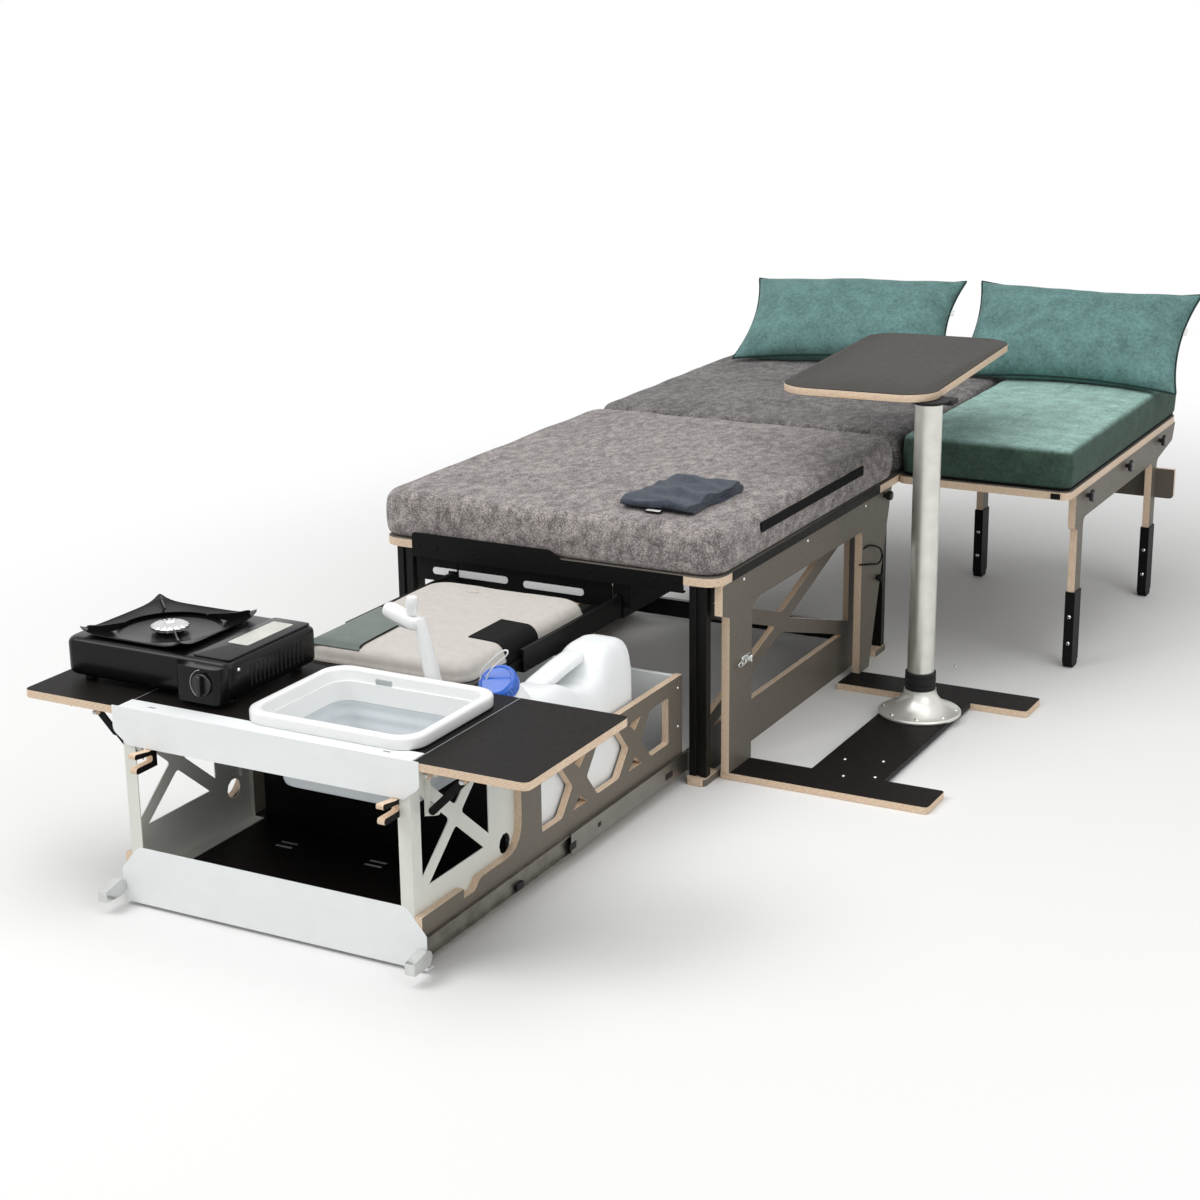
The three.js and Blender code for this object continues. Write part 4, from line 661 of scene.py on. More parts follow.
@dataclass(frozen=True)
class BareMetal(Finish):
    """Satin, zinc-plated or polished metal, with fine lines drawn along one axis."""

    colour: tuple
    roughness: float
    axis: Axis

    def material(self) -> bpy.types.Material:
        """Lines: noise squeezed across the axis, in both the height and the roughness."""
        graph = Graph(self.name)
        squeeze = {Axis.X: (0.03, 1, 1), Axis.Y: (1, 0.03, 1), Axis.Z: (1, 1, 0.03)}[self.axis]
        lines = graph.noise(1400.0, 3.0, squeeze)
        graph.bump(lines, 0.02, 0.4)
        dark = tuple(int(level * 0.94) for level in self.colour)
        colour = graph.ramp(graph.noise(30.0, 4.0), shades(((0.3, dark), (0.7, self.colour))))
        rough = graph.spread(lines, self.roughness * 0.75, self.roughness * 1.25)
        return graph.look(Base_Color=colour, Metallic=1.0, Roughness=rough)


@dataclass(frozen=True)
class Marl(Finish):
    """Marled upholstery: light and dark threads, brushed one way and another, with a soft sheen."""

    dark: tuple
    light: tuple

    def material(self) -> bpy.types.Material:
        """Tone is a sum of threads, flecks of a few millimetres, brush strokes and broad clouds."""
        graph = Graph(self.name)
        threads = graph.times(graph.noise(640.0, 6.0, (1, 0.5, 1)), 0.55)
        flecks = graph.times(graph.noise(270.0, 5.0, (1, 0.7, 1)), 0.5)
        strokes = graph.times(graph.noise(56.0, 5.0, (1, 0.6, 0.8)), 0.36)
        clouds = graph.times(graph.noise(8.0, 3.0), 0.1)
        fleck = graph.plus(graph.plus(threads, flecks), graph.plus(strokes, clouds))
        middle = tuple((a + b) / 2 for a, b in zip(self.dark, self.light))
        colour = graph.ramp(fleck, shades(((0.64, self.dark), (0.755, middle), (0.87, self.light))))
        graph.bump(graph.noise(1300.0, 4.0), 0.45, 0.75)
        graph.bump(graph.noise(20.0, 3.0, (1, 0.6, 1)), 2.2, 0.3)
        graph.look(Sheen_Weight=0.16, Sheen_Roughness=0.45, Specular_IOR_Level=0.2)
        return graph.look(Base_Color=colour, Roughness=graph.spread(threads, 0.86, 0.98))


@dataclass(frozen=True)
class Velvet(Finish):
    """Short pile that catches the light, finely speckled, and, if so asked, with painted light: lighter
    where it looks up.
    """

    colour: tuple
    sheen: float = 0.5
    # Colour of a painted lighter top; the sides keep the darker colour as painted shade.
    upper: tuple = ()

    def speckled(self, graph: Graph, speckle: bpy.types.NodeSocket,
                 colour: tuple) -> bpy.types.NodeSocket:
        """One colour with its darker and lighter speckles."""
        low = tuple(level * 0.78 for level in colour)
        high = tuple(min(255.0, level * 1.2) for level in colour)
        return graph.ramp(speckle, shades(((0.36, low), (0.5, colour), (0.66, high))))

    def material(self) -> bpy.types.Material:
        """Speckles of three sizes; the painted lighter top colour comes in with the surface's upward
        look.
        """
        graph = Graph(self.name)
        fine = graph.plus(graph.times(graph.noise(110.0, 5.0), 0.34),
                          graph.times(graph.noise(480.0, 5.0), 0.36))
        speckle = graph.plus(graph.times(graph.noise(22.0, 4.0), 0.3), fine)
        colour = self.speckled(graph, speckle, self.colour)
        if self.upper:
            # Painted light and shade: faces that look up take the lighter colour, the sides the darker
            # one.
            upward = graph.math("POWER", graph.math("MAXIMUM", graph.part(Axis.Z, "Normal"), 0.0), 1.5)
            colour = graph.blend(upward, colour, self.speckled(graph, speckle, self.upper))
        graph.bump(graph.noise(1500.0, 3.0), 0.35, 0.7)
        graph.bump(graph.noise(30.0, 3.0), 1.2, 0.2)
        graph.look(Sheen_Weight=self.sheen, Sheen_Roughness=0.32, Sheen_Tint=tone(215, 235, 230),
                   Specular_IOR_Level=0.2)
        return graph.look(Base_Color=colour, Roughness=graph.spread(speckle, 0.8, 0.95))


@dataclass(frozen=True)
class Terry(Finish):
    """Looped towelling in two close blues."""

    dark: tuple
    light: tuple

    def material(self) -> bpy.types.Material:
        """Loops are the distance to scattered points, both in tone and in height."""
        graph = Graph(self.name)
        loops = graph.spots(620.0)
        level = graph.plus(graph.times(loops, 0.7), graph.times(graph.noise(90.0, 5.0), 0.5))
        colour = graph.ramp(level, shades(((0.3, self.light), (0.75, self.dark))))
        graph.bump(graph.math("SUBTRACT", 1.0, loops), 1.1, 0.9)
        graph.look(Sheen_Weight=0.2, Sheen_Roughness=0.5, Specular_IOR_Level=0.2)
        return graph.look(Base_Color=colour, Roughness=graph.spread(loops, 0.9, 1.0))


@dataclass(frozen=True)
class Weave(Finish):
    """Plain woven cloth or webbing: threads over and under, drawn as two crossed sines."""

    colour: tuple
    thread_mm: float = 1.1
    roughness: float = 0.8
    sheen: float = 0.0

    def material(self) -> bpy.types.Material:
        """Height is sin x sin y + sin z (sin x + sin y), so that every face shows threads."""
        graph = Graph(self.name)
        x, y, z = (graph.waves(axis, 2 * self.thread_mm) for axis in Axis)
        weave = graph.plus(graph.times(x, y), graph.times(z, graph.plus(x, y)))
        dark = tuple(level * 0.965 for level in self.colour)
        level = graph.plus(graph.noise(60.0, 5.0), graph.times(weave, 0.08))
        colour = graph.ramp(level, shades(((0.32, dark), (0.62, self.colour))))
        graph.bump(weave, 0.18, 0.5)
        graph.look(Sheen_Weight=self.sheen, Specular_IOR_Level=0.15)
        rough = graph.spread(weave, self.roughness * 0.92, self.roughness)
        return graph.look(Base_Color=colour, Roughness=rough)


# The upright boards are darker copies of the level board's grey: painted shade on the faces turned from
# the lamps.
SHADED_GREY_X = Board("grey_faced_plywood", "grey board, upright along", Axis.X, Face.GREY, (104, 98, 88))
SHADED_GREY_Y = Board("grey_faced_plywood", "grey board, upright across", Axis.Y, Face.GREY, (98, 92, 84))
GREY_Z = Board("grey_faced_plywood", "grey board, level", Axis.Z, Face.GREY)
TABLE_BOARD = Board("grey_faced_plywood", "table board", Axis.Z, Face.MESH)
PLUG_BIRCH = Board("grey_faced_plywood", "birch plug", Axis.Y, Face.BIRCH)
FILM_Z = Board("black_film_plywood", "black film board", Axis.Z, Face.FILM)
FILM_X = Board("black_film_plywood", "black film board, upright", Axis.X, Face.FILM)
ANODISED = Coating("black_aluminium", "black anodising", (24, 24, 23), 0.36, 0.5, 0.015, shine=0.3)
BLACK_COAT = Coating("black_steel", "black powder coat", (13, 13, 13), 0.5, 0.0, 0.05, shine=0.12)
TRIM = Coating("black_steel", "black edge trim", (26, 27, 25), 0.55, 0.0, 0.03, shine=0.15)
WHITE_COAT = Coating("white_steel", "white powder coat", (238, 241, 241), 0.42, 0.0, 0.04, mottle=0.007)
HOUSING_COAT = Coating("white_steel", "white powder coat inside", (222, 223, 215), 0.45, 0.0, 0.04,
                       mottle=0.01)
ZINC = BareMetal("zinc_steel", "zinc plate", (142, 140, 132), 0.34, Axis.Y)
BRIGHT = BareMetal("zinc_steel", "polished plate", (222, 224, 222), 0.16, Axis.Z)
SATIN = BareMetal("silver_aluminium", "satin silver", (222, 222, 214), 0.36, Axis.Z)
CONE_SILVER = Coating("silver_aluminium", "silver casting", (222, 221, 215), 0.33, 0.55, 0.04,
                      mottle=0.015)
VELOUR = Marl("grey_velour", "marled velour", (94, 89, 88), (182, 175, 172))
# The rear mattress's velour is a darker copy of the front's: painted shade for the light falling off
# towards the rear.
SHADED_REAR_VELOUR = Marl("grey_velour", "marled velour, rear half", (66, 63, 63), (148, 144, 142))
TEAL = Velvet("green_velvet", "teal velvet", (97, 131, 128), 0.4)
# The side cushion's velvet: darker sides and a lighter top, painted shade and painted light on one
# fabric.
TEAL_PAINTED_TOP_LIGHT = Velvet("green_velvet", "teal velvet, light above", (58, 78, 67), 0.2, (151, 184, 176))
PIPING = Velvet("green_velvet", "dark piping", (36, 58, 55), 0.1)
TOWELLING = Terry("navy_cotton", "navy towelling", (44, 50, 62), (88, 96, 109))
CANVAS = Weave("beige_canvas", "beige canvas", (205, 200, 193), 0.7, 0.75, 0.1)
FLAP = Coating("beige_canvas", "grey-green window", (96, 106, 100), 0.42, 0.0, 0.05, 200.0, shine=0.3)
WEBBING = Weave("black_plastic", "black webbing", (13, 13, 14), 1.2, 0.85)
RUBBER = Coating("black_plastic", "black rubber", (20, 20, 21), 0.62, 0.0, 0.05, shine=0.3)
BLACK_GLOSS = Coating("black_plastic", "black knob", (17, 17, 18), 0.3, 0.0, 0.01)
WHITE_GLOSS = Coating("white_plastic", "white plastic", (242, 243, 242), 0.28, 0.0, 0.01, 600.0, 0.15,
                      mottle=0.005)
SILICONE = Coating("white_plastic", "grey silicone", (204, 210, 214), 0.5, 0.0, 0.02, 600.0,
                   mottle=0.01)
CLIP_GREY = Coating("white_plastic", "grey clip", (178, 182, 184), 0.4)
MILKY = Coating("milky_plastic", "milky plastic", (240, 243, 244), 0.4, 0.0, 0.03, 500.0, 0.0, 0.25,
                mottle=0.006)
CAP_BLUE = Coating("blue_plastic", "blue plastic", (14, 92, 196), 0.24, 0.0, 0.01, 600.0, 0.3)
ENAMEL = Coating("black_enamel", "black enamel", (11, 11, 13), 0.24, 0.0, 0.01, 400.0, 0.12, shine=0.15)
TAG = Weave("white_plastic", "blank tag", (236, 236, 232), 0.5, 0.8)


# The bench: where surfaces become pieces that ride on the model's bodies

POST_CORNER = (-374.0, 0.0, 15.3)
SAME_POINT = 2e-6
WELD_REACH = 1e-5
BEVEL_ANGLE = 38.0


class Bench:
    """Makes meshes from surfaces, dresses them and fastens them to the body that each moves with."""

    def __init__(self) -> None:
        """Loads the fixed model and finds how its frame lies to the maker's millimetres."""
        self.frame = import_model()
        low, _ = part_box("post_front_left")
        self.shift = np.array(low) - np.array(POST_CORNER) * MM
        self.materials: dict[Finish, bpy.types.Material] = {}
        self.count = 0

    def metres(self, points: Sequence[Point] | np.ndarray) -> np.ndarray:
        """Points in millimetres as points of the model's frame."""
        return np.array(points, float) * MM + self.shift

    def material(self, finish: Finish) -> bpy.types.Material:
        """The finish's material, made once."""
        if finish not in self.materials:
            self.materials[finish] = finish.material()
        return self.materials[finish]

    def mesh(self, name: str, surface: Surface, sharp: float) -> bpy.types.Object:
        """A smooth-shaded object from a surface, its doubles merged and its faces turned outwards.

        Args:
            name: Name of the object.
            surface: Points in millimetres with their faces.
            sharp: Edges steeper than this angle stay sharp.

        Returns:
            The object, linked into the scene.
        """
        mesh = bpy.data.meshes.new(name)
        mesh.from_pydata(self.metres(surface.points).tolist(), [], surface.faces)
        work = bmesh.new()
        work.from_mesh(mesh)
        bmesh.ops.remove_doubles(work, verts=work.verts, dist=SAME_POINT)
        bmesh.ops.recalc_face_normals(work, faces=work.faces)
        work.to_mesh(mesh)
        work.free()
        mesh.polygons.foreach_set("use_smooth", np.ones(len(mesh.polygons), bool))
        mesh.set_sharp_from_angle(angle=math.radians(sharp))
        piece = bpy.data.objects.new(name, mesh)
        bpy.context.scene.collection.objects.link(piece)
        return piece

    def piece(self, name: str, surface: Surface, body: str, finish: Finish, sharp: float = 40.0,
              bevel: float = 0.0, finer: int = 0, stands_for: Sequence[str] = ()) -> bpy.types.Object:
        """A finished piece that rides on a body.

        Args:
            name: Name of the piece.
            surface: Its shape.
            body: Body that it moves with.
            finish: Its finish.
            sharp: Edges steeper than this angle stay sharp.
            bevel: Width of a bevel on the sharp edges, in millimetres.
            finer: Levels of subdivision.
            stands_for: Nodes of the fixed model that it is shown instead of.

        Returns:
            The object.
        """
        piece = self.mesh(name, surface, sharp)
        piece.data.materials.append(self.material(finish))
        if bevel:
            self.bevel(piece, bevel)
        if finer:
            smooth = piece.modifiers.new("finer", "SUBSURF")
            smooth.levels = smooth.render_levels = finer
        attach(piece, body)
        if stands_for:
            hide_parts(*stands_for)
        self.count += 1
        LOG.info("piece %s: %d faces, rides on %s", name, len(piece.data.polygons), body)
        return piece

    def bevel(self, target: bpy.types.Object, width: float) -> None:
        """Breaks the sharp edges of an object by a narrow rounded bevel."""
        bevel = target.modifiers.new("broken edges", "BEVEL")
        bevel.width = width * MM
        bevel.segments = 2
        bevel.limit_method = "ANGLE"
        bevel.angle_limit = math.radians(BEVEL_ANGLE)
        bevel.harden_normals = False

    def dress(self, finish: Finish, *nodes: str, bevel: float = 0.5) -> None:
        """Gives nodes of the fixed model their finish and broken edges.

        Args:
            finish: The finish.
            nodes: Names of the nodes.
            bevel: Width of the bevel in millimetres, 0 for none.
        """
        for name in nodes:
            node = self.frame["nodes"][name]
            node.data.materials.clear()
            node.data.materials.append(self.material(finish))
            if bevel:
                weld = node.modifiers.new("weld", "WELD")
                weld.merge_threshold = WELD_REACH
                self.bevel(node, bevel)
            LOG.info("dressed %s as %s", name, finish.name)


# Sub-assemblies


@dataclass
class BedBox:
    """The box itself: posts, panels, bed boards, fascia, slides and the frame under its right edge."""

    deck_half: float = 405.0
    deck_low: float = 432.0
    deck_top: float = 450.0
    trim_end: float = 880.0
    fascia_front: float = -13.0
    fascia_low: float = 414.0
    trim_thick: float = 1.6
    trim_start: float = 56.0
    trim_rear: float = 1980.0
    frame_face: float = 405.0
    rivet_radius: float = 3.2
    rivet_places: tuple = (-310, -265, -170, -75, 20, 115, 210, 262, 308)
    screw_radius: float = 4.2
    screw_places: tuple = (114, 450, 793)
    screw_height: float = 421.0
    latch_place: tuple = (122.0, 246.0)
    knob_place: tuple = (872.0, 228.0)
    plate_front: float = 2.0
    plate_back: float = 5.0
    plate_top: float = 413.0
    slot_front: float = 0.7
    slot_back: float = 2.2

    def build(self, bench: Bench) -> None:
        """Dresses the boards and metal of the box and adds its trim and fittings."""
        bench.dress(ANODISED, "post_front_left", "post_front_right", "rear_frame", bevel=0.8)
        bench.dress(SHADED_GREY_X, "side_panel_left", "side_panel_right", "side_frame")
        bench.dress(GREY_Z, "deck_front", "deck_rear")
        bench.dress(BLACK_COAT, "front_fascia", "upper_track")
        bench.dress(ZINC, "slide_outer_left", "slide_outer_right", "slide_middle_left",
                    "slide_middle_right", bevel=0.3)
        bench.piece("edge_trim", self.trim(), "box", TRIM, bevel=0.4)
        bench.piece("fascia_rivets", self.rivets(), "box", BLACK_COAT)
        bench.piece("frame_screws", self.screws(), "box", BRIGHT)
        bench.piece("toggle_latch", self.latch(), "box", BRIGHT, bevel=0.4)
        bench.piece("latch_knob", self.knob(), "box", RUBBER)
        bench.piece("cord_loop", self.loop(), "box", WEBBING)
        bench.piece("bulkhead", self.bulkhead(), "upper_tray", BLACK_COAT, bevel=0.4)
        bench.piece("bulkhead_slots", self.slots(), "upper_tray", WHITE_GLOSS)
        bench.piece("track_flanges", self.flanges(), "box", BLACK_COAT, bevel=0.4)
        bench.piece("flange_slot", self.flange_slot(), "box", WHITE_GLOSS)

    def trim(self) -> Surface:
        """A flat strip along the right edge of the front bed board and along the left edge of both."""
        near, start = self.deck_half + 0.05, self.trim_start
        far, low, top = near + self.trim_thick, self.deck_low, self.deck_top + 1
        return blocks([((near, start, low), (far, self.trim_end, top), 0.4, 0.4),
                       ((-far, start, low), (-near, self.trim_rear, top), 0.4, 0.4)])

    def rivets(self) -> Surface:
        """Small domed rivets along the face of the fascia."""
        height = (self.fascia_low + self.deck_top) / 2 + 6
        places = [(x, self.fascia_front, height) for x in self.rivet_places]
        return screw_heads(places, self.rivet_radius, (0, -1, 0))

    def screws(self) -> Surface:
        """Bright screws that hold the side frame to the bed board."""
        places = [(self.frame_face, y, self.screw_height) for y in self.screw_places]
        return screw_heads(places, self.screw_radius, (1, 0, 0))

    def latch(self) -> Surface:
        """A toggle latch: base plate, hook bar and lever, on the front leg of the side frame."""
        x, (y, z) = self.frame_face, self.latch_place
        plates = blocks([((x, y - 20, z - 9), (x + 2, y + 22, z + 9), 3, 0.6),
                         ((x + 2, y - 16, z - 5), (x + 9, y + 8, z + 5), 2.5, 1.5),
                         ((x + 2, y + 4, z - 8), (x + 13, y + 14, z + 8), 3, 2)], Axis.X)
        hook = through([(x + 8, y - 14, z + 4), (x + 9, y - 40, z + 5), (x + 8, y - 50, z),
                        (x + 9, y - 40, z - 5), (x + 8, y - 14, z - 4)], 24)
        return joined([plates, carried(hook, circle(1.3, 8), (1, 0, 0))])

    def knob(self) -> Surface:
        """A ribbed black knob on the rear leg of the side frame."""
        return lathe([(0, 0), (6, 0), (6, 5), (9, 6), (10, 10), (9, 15), (5, 17), (0, 17)],
                     (self.frame_face, *self.knob_place), (1, 0, 0), 20)

    def loop(self) -> Surface:
        """A short elastic cord loop on the rear leg."""
        x = self.frame_face
        knots = [(x - 1, 782, 320), (x + 6, 812, 322), (x + 12, 856, 306), (x + 13, 872, 284),
                 (x + 10, 858, 268), (x + 5, 812, 276), (x - 1, 764, 286)]
        return carried(through(knots, 60), circle(2.1, 8), (1, 0, 0))

    def upright(self, x0: float, x1: float, z0: float, z1: float, corner: float, rim: float,
                front: float | None = None, back: float | None = None) -> Surface:
        """A thin upright sheet across the front, in the plane of the rear plate.

        Args:
            x0: Low x.
            x1: High x.
            z0: Low z.
            z1: High z.
            corner: Radius of its corners.
            rim: Radius of its rims.
            front: Front face, the plate's own if left out.
            back: Back face, the plate's own if left out.

        Returns:
            The sheet.
        """
        front = self.plate_front if front is None else front
        back = self.plate_back if back is None else back
        return soft_block((x0, front, z0), (x1, back, z1), corner, rim, Axis.Y)

    def bulkhead(self) -> Surface:
        """The black rear plate of the pull-out, on two arms from the tray's rear wall."""
        arms = blocks(((x, -84.8, 356), (x + 14, 3, 359), 1, 0.4) for x in (-190, 110))
        return joined([self.upright(-219, 154, 356, self.plate_top, 3, 0.5), arms])

    def slots(self) -> Surface:
        """Pale webbing ends showing in two rounded slots of the plate."""
        return joined([self.upright(-218, -96, 376, 392, 7, 0.4, self.slot_front, self.slot_back),
                       self.upright(-218, -190, 376, 392, 1, 0.4, 0.9, 2.1),
                       self.upright(-58, 88, 373, 389, 7, 0.4, self.slot_front, self.slot_back)])

    def flanges(self) -> Surface:
        """Front flanges of the track, beside the plate and clear of the carriage's rails."""
        top = self.plate_top
        return joined([self.upright(-326, -244, 361, top, 3, 0.5),
                       self.upright(-248, -222, 386.5, top, 1, 0.5, self.slot_back),
                       self.upright(157, 183, 386.5, top, 1, 0.5, self.slot_back),
                       self.upright(179, 200, 361, top, 3, 0.5)])

    def flange_slot(self) -> Surface:
        """The left slot's run on in the flange."""
        return joined([self.upright(-284, -244.5, 376, 392, 7, 0.4, self.slot_front, self.slot_back),
                       self.upright(-262, -223, 387.5, 392, 1, 0.4, 1.0, 2.1),
                       self.upright(-262, -244.5, 376, 392, 1, 0.4, 0.9, 2.1)])


FOOT_SHARE = 0.5


@dataclass(frozen=True)
class Pad:
    """A foam block in a sewn cover: round corners and rims, a slight crown and soft dents."""

    low: tuple
    high: tuple
    corner: float
    rim: float
    crown: float
    bulge: float
    dent: float
    seed: int
    side_steps: int = 30

    def surface(self) -> Surface:
        """Rings stacked up the side and then drawn in across the top.

        Side: inset = -b sin(pi s). Rims: quarter circles. Top: height = top + c (1 - (1 - i / I)^2).

        Returns:
            The closed surface.
        """
        (x0, y0, z0), (x1, y1, z1) = self.low, self.high
        foot = self.rim * FOOT_SHARE
        turn = np.linspace(0, math.pi / 2, 6)
        share = np.linspace(0, 1, 8)[1:-1]
        reach = min(x1 - x0, y1 - y0) / 2 - 3
        inward = np.linspace(self.rim, reach, 30)[1:]
        insets = np.concatenate([foot * (1 - np.sin(turn)), -self.bulge * np.sin(math.pi * share),
                                 self.rim * (1 - np.sin(turn[::-1])), inward])
        drop = 1 - (inward - self.rim) / (reach - self.rim)
        heights = np.concatenate([z0 + foot * (1 - np.cos(turn)),
                                  z0 + foot + share * (z1 - z0 - foot - self.rim),
                                  z1 - self.rim * (1 - np.cos(turn[::-1])),
                                  z1 + self.crown * (1 - drop**2)])
        rings = np.stack([rounded_ring(x0 + i, x1 - i, y0 + i, y1 - i,
                                       max(self.corner - max(i, 0) * 0.4, 8),
                                       self.side_steps, 7) for i in insets])
        points = np.dstack([rings, np.broadcast_to(heights[:, None], rings.shape[:2])])
        x, y, z = points[..., 0], points[..., 1], points[..., 2]
        lift = self.dent * ripples(x, y, 150.0, self.seed)
        lift = lift + self.dent * 0.5 * ripples(x, y * 0.4, 46.0, self.seed + 1)
        weight = np.clip((z - z0) / (z1 - z0), 0, 1) ** 2
        points[..., 2] = z + lift * weight
        side = self.dent * 0.9 * ripples(x + y, z * 2.2, 120.0, self.seed + 2)
        level = np.sin(math.pi * np.clip((z - z0) / (z1 - z0), 0, 1))
        middle = np.array([(x0 + x1) / 2, (y0 + y1) / 2])
        points[..., :2] += unit(points[..., :2] - middle) * (side * level)[..., None]
        return skin(points, around=True, ends=True)

    def seam(self, drop: float, radius: float) -> Surface:
        """A sewn cord round the pad, a little below its top."""
        (x0, y0, _), (x1, y1, z1) = self.low, self.high
        inset = self.rim * 0.2
        ring = rounded_ring(x0 + inset, x1 - inset, y0 + inset, y1 - inset, self.corner, 40, 8)
        path = np.column_stack([ring, np.full(len(ring), z1 - drop)])
        return carried(path, circle(radius, 8), closed=True)


@dataclass
class Mattresses:
    """The two halves of the mattress and the long cushion of the side bed."""

    front: Pad = Pad((-417, -5, 450.4), (402, 999, 549), 52, 26, 7, 2.5, 1.6, 11)
    rear: Pad = Pad((-417, 1005, 450.4), (398, 1982, 549), 44, 24, 7, 2.5, 1.2, 23)
    side: Pad = Pad((410, 1005, 456), (823.5, 1982, 549), 24, 13, 6, 1.5, 0.6, 37)
    firmness: float = 0.95
    strip_ends: tuple = (198.0, 770.0)
    strip_low: float = 500.5
    strip_rise: float = 20.5

    def build(self, bench: Bench) -> None:
        """Makes the pads, the seam of the side cushion and the dark strips beside them."""
        for name, node, pad, finish in (("front_mattress", "mattress_front", self.front, VELOUR),
                                        ("rear_mattress", "mattress_rear", self.rear, SHADED_REAR_VELOUR),
                                        ("side_bed_cushion", "side_cushion", self.side, TEAL_PAINTED_TOP_LIGHT)):
            cover = bench.piece(name, pad.surface(), "box", finish, 60, finer=1, stands_for=[node])
        bench.piece("side_cushion_piping", self.side.seam(9, 1.5), "box", PIPING)
        base = soft_block((414, 1009, 450.2), (820, 1978, 458), 20, 1)
        bench.piece("side_cushion_base", base, "box", WEBBING)
        bench.piece("mattress_fastening_strip", self.strip(), "box", WEBBING)

    def strip(self) -> Surface:
        """A fastening strip on the right side of the front mattress, bulging with it."""
        y, s = np.meshgrid(np.linspace(*self.strip_ends, 60), np.linspace(0, 1, 8), indexing="ij")
        x = 404.4 + 2.2 * np.sin(math.pi * (0.42 + 0.26 * s))
        z = self.strip_low + self.strip_rise * s
        outer = np.stack([x, y, z], axis=-1)
        loop = np.concatenate([outer, (outer - np.array([4.0, 0, 0]))[:, ::-1]], axis=1)
        return skin(loop, around=True, ends=True)


@dataclass
class Pillow:
    """A stuffed pillow with pointed corners and piping round its seam, leaning back."""

    x: float
    turn: float
    roll: float = 0.0
    width: float = 600.0
    height: float = 320.0
    thick: float = 136.0
    pinch: float = 25.0
    lean: float = 46.0
    foot: float = 1715.0
    settle: float = 3.0
    bed: float = 555.3
    seed: int = 5
    end_power: float = 3.0
    side_power: float = 2.6
    plumpness: float = 0.56
    fold_depths: tuple = (3.0, 4.2, 5.0)
    dent: float = 3.4
    shell: float = 0.8
    fill: float = 0.85

    def plan(self, u: np.ndarray, v: np.ndarray) -> tuple:
        """Sides drawn in between the corners: x = u W/2 - sign(u) p (1 - v^2) |u|^3, and z alike."""
        return (u * (self.width / 2) - np.sign(u) * self.pinch * (1 - v**2) * np.abs(u)**3,
                v * (self.height / 2) - np.sign(v) * self.pinch * (1 - u**2) * np.abs(v)**3)

    def half(self, side: float) -> np.ndarray:
        """One face: depth = T/2 ((1 - |u|^a)(1 - |v|^b))^c, with folds from the seam and soft dents.

        Args:
            side: 1 for the front, -1 for the back.

        Returns:
            Rows by columns by 3.
        """
        u, v = np.meshgrid(np.linspace(-1, 1, 111), np.linspace(-1, 1, 67), indexing="ij")
        x, z = self.plan(u, v)
        plump = ((1 - np.abs(u)**self.end_power) * (1 - np.abs(v)**self.side_power))**self.plumpness
        edge = np.clip(1 - plump, 0, 1)
        near_side = np.sin(x / 15.0 + 1.7 * np.sin(x / 61.0)) * np.abs(v)**3 * (1 - np.abs(u)**4)
        near_end = np.sin(z / 13.0 + 1.3 * np.sin(z / 40.0 + side)) * np.abs(u)**5 * (1 - np.abs(v)**4)
        across = np.abs(x) / self.width - np.abs(z) / self.height
        corner = np.sin(across * 38.0) * (np.abs(u) * np.abs(v))**2
        long, short, point = self.fold_depths
        folds = (near_side * long + near_end * short + corner * point) * edge * plump**0.5
        dents = self.dent * ripples(x, z, 190.0, self.seed) * plump
        depth = plump * self.thick / 2 + folds + dents + self.shell
        return np.stack([x, -side * np.maximum(depth, self.shell), z], axis=-1)

    def leant(self, surface: Surface) -> Surface:
        """The surface leant back and turned a little on the bed."""
        return surface.turned(Axis.Y, -self.roll).turned(Axis.X, -self.lean).turned(Axis.Z, self.turn)

    def placed(self, surface: Surface) -> Surface:
        """The surface leant back and set on the bed by the pillow's own lowest point."""
        reach = self.height / 2 * math.sin(math.radians(self.lean))
        low = min(self.leant(skin(self.half(side))).points[:, 2].min() for side in (1, -1))
        return self.leant(surface).moved(self.x, self.foot + reach, self.bed - self.settle - low)

    def rim_path(self) -> np.ndarray:
        """The seam: the outline of the plan, corner to corner."""
        run = np.linspace(-1, 1, 60)[:-1]
        one = np.ones_like(run)
        u = np.concatenate([run, one, -run, -one])
        v = np.concatenate([-one, run, one, -run])
        x, z = self.plan(u, v)
        return np.stack([x, np.zeros_like(x), z], axis=-1)

    def build(self, bench: Bench, name: str, node: str) -> None:
        """Makes the pillow, its piping and its blank tag."""
        faces = joined([skin(self.half(1)), skin(self.half(-1))])
        body = bench.piece(name, self.placed(self.closed(faces)), "box", TEAL, 70, finer=1,
                           stands_for=[node])
        piping = carried(self.rim_path(), circle(2.6, 8), (0, 1, 0), closed=True)
        bench.piece(name + "_piping", self.placed(piping), "box", PIPING)
        end = self.width / 2 - self.pinch
        tag = soft_block((end - 3, -0.8, 26), (end + 12, 0.8, 48), 1, 0.4, Axis.Y)
        bench.piece(name + "_tag", self.placed(tag), "box", TAG)

    def closed(self, faces: Surface) -> Surface:
        """Both faces brought together on the seam, so that they share its points."""
        points = faces.points.copy()
        thin = np.abs(points[:, 1]) < self.shell + 0.01
        points[thin, 1] = 0.0
        return Surface(points, faces.faces)


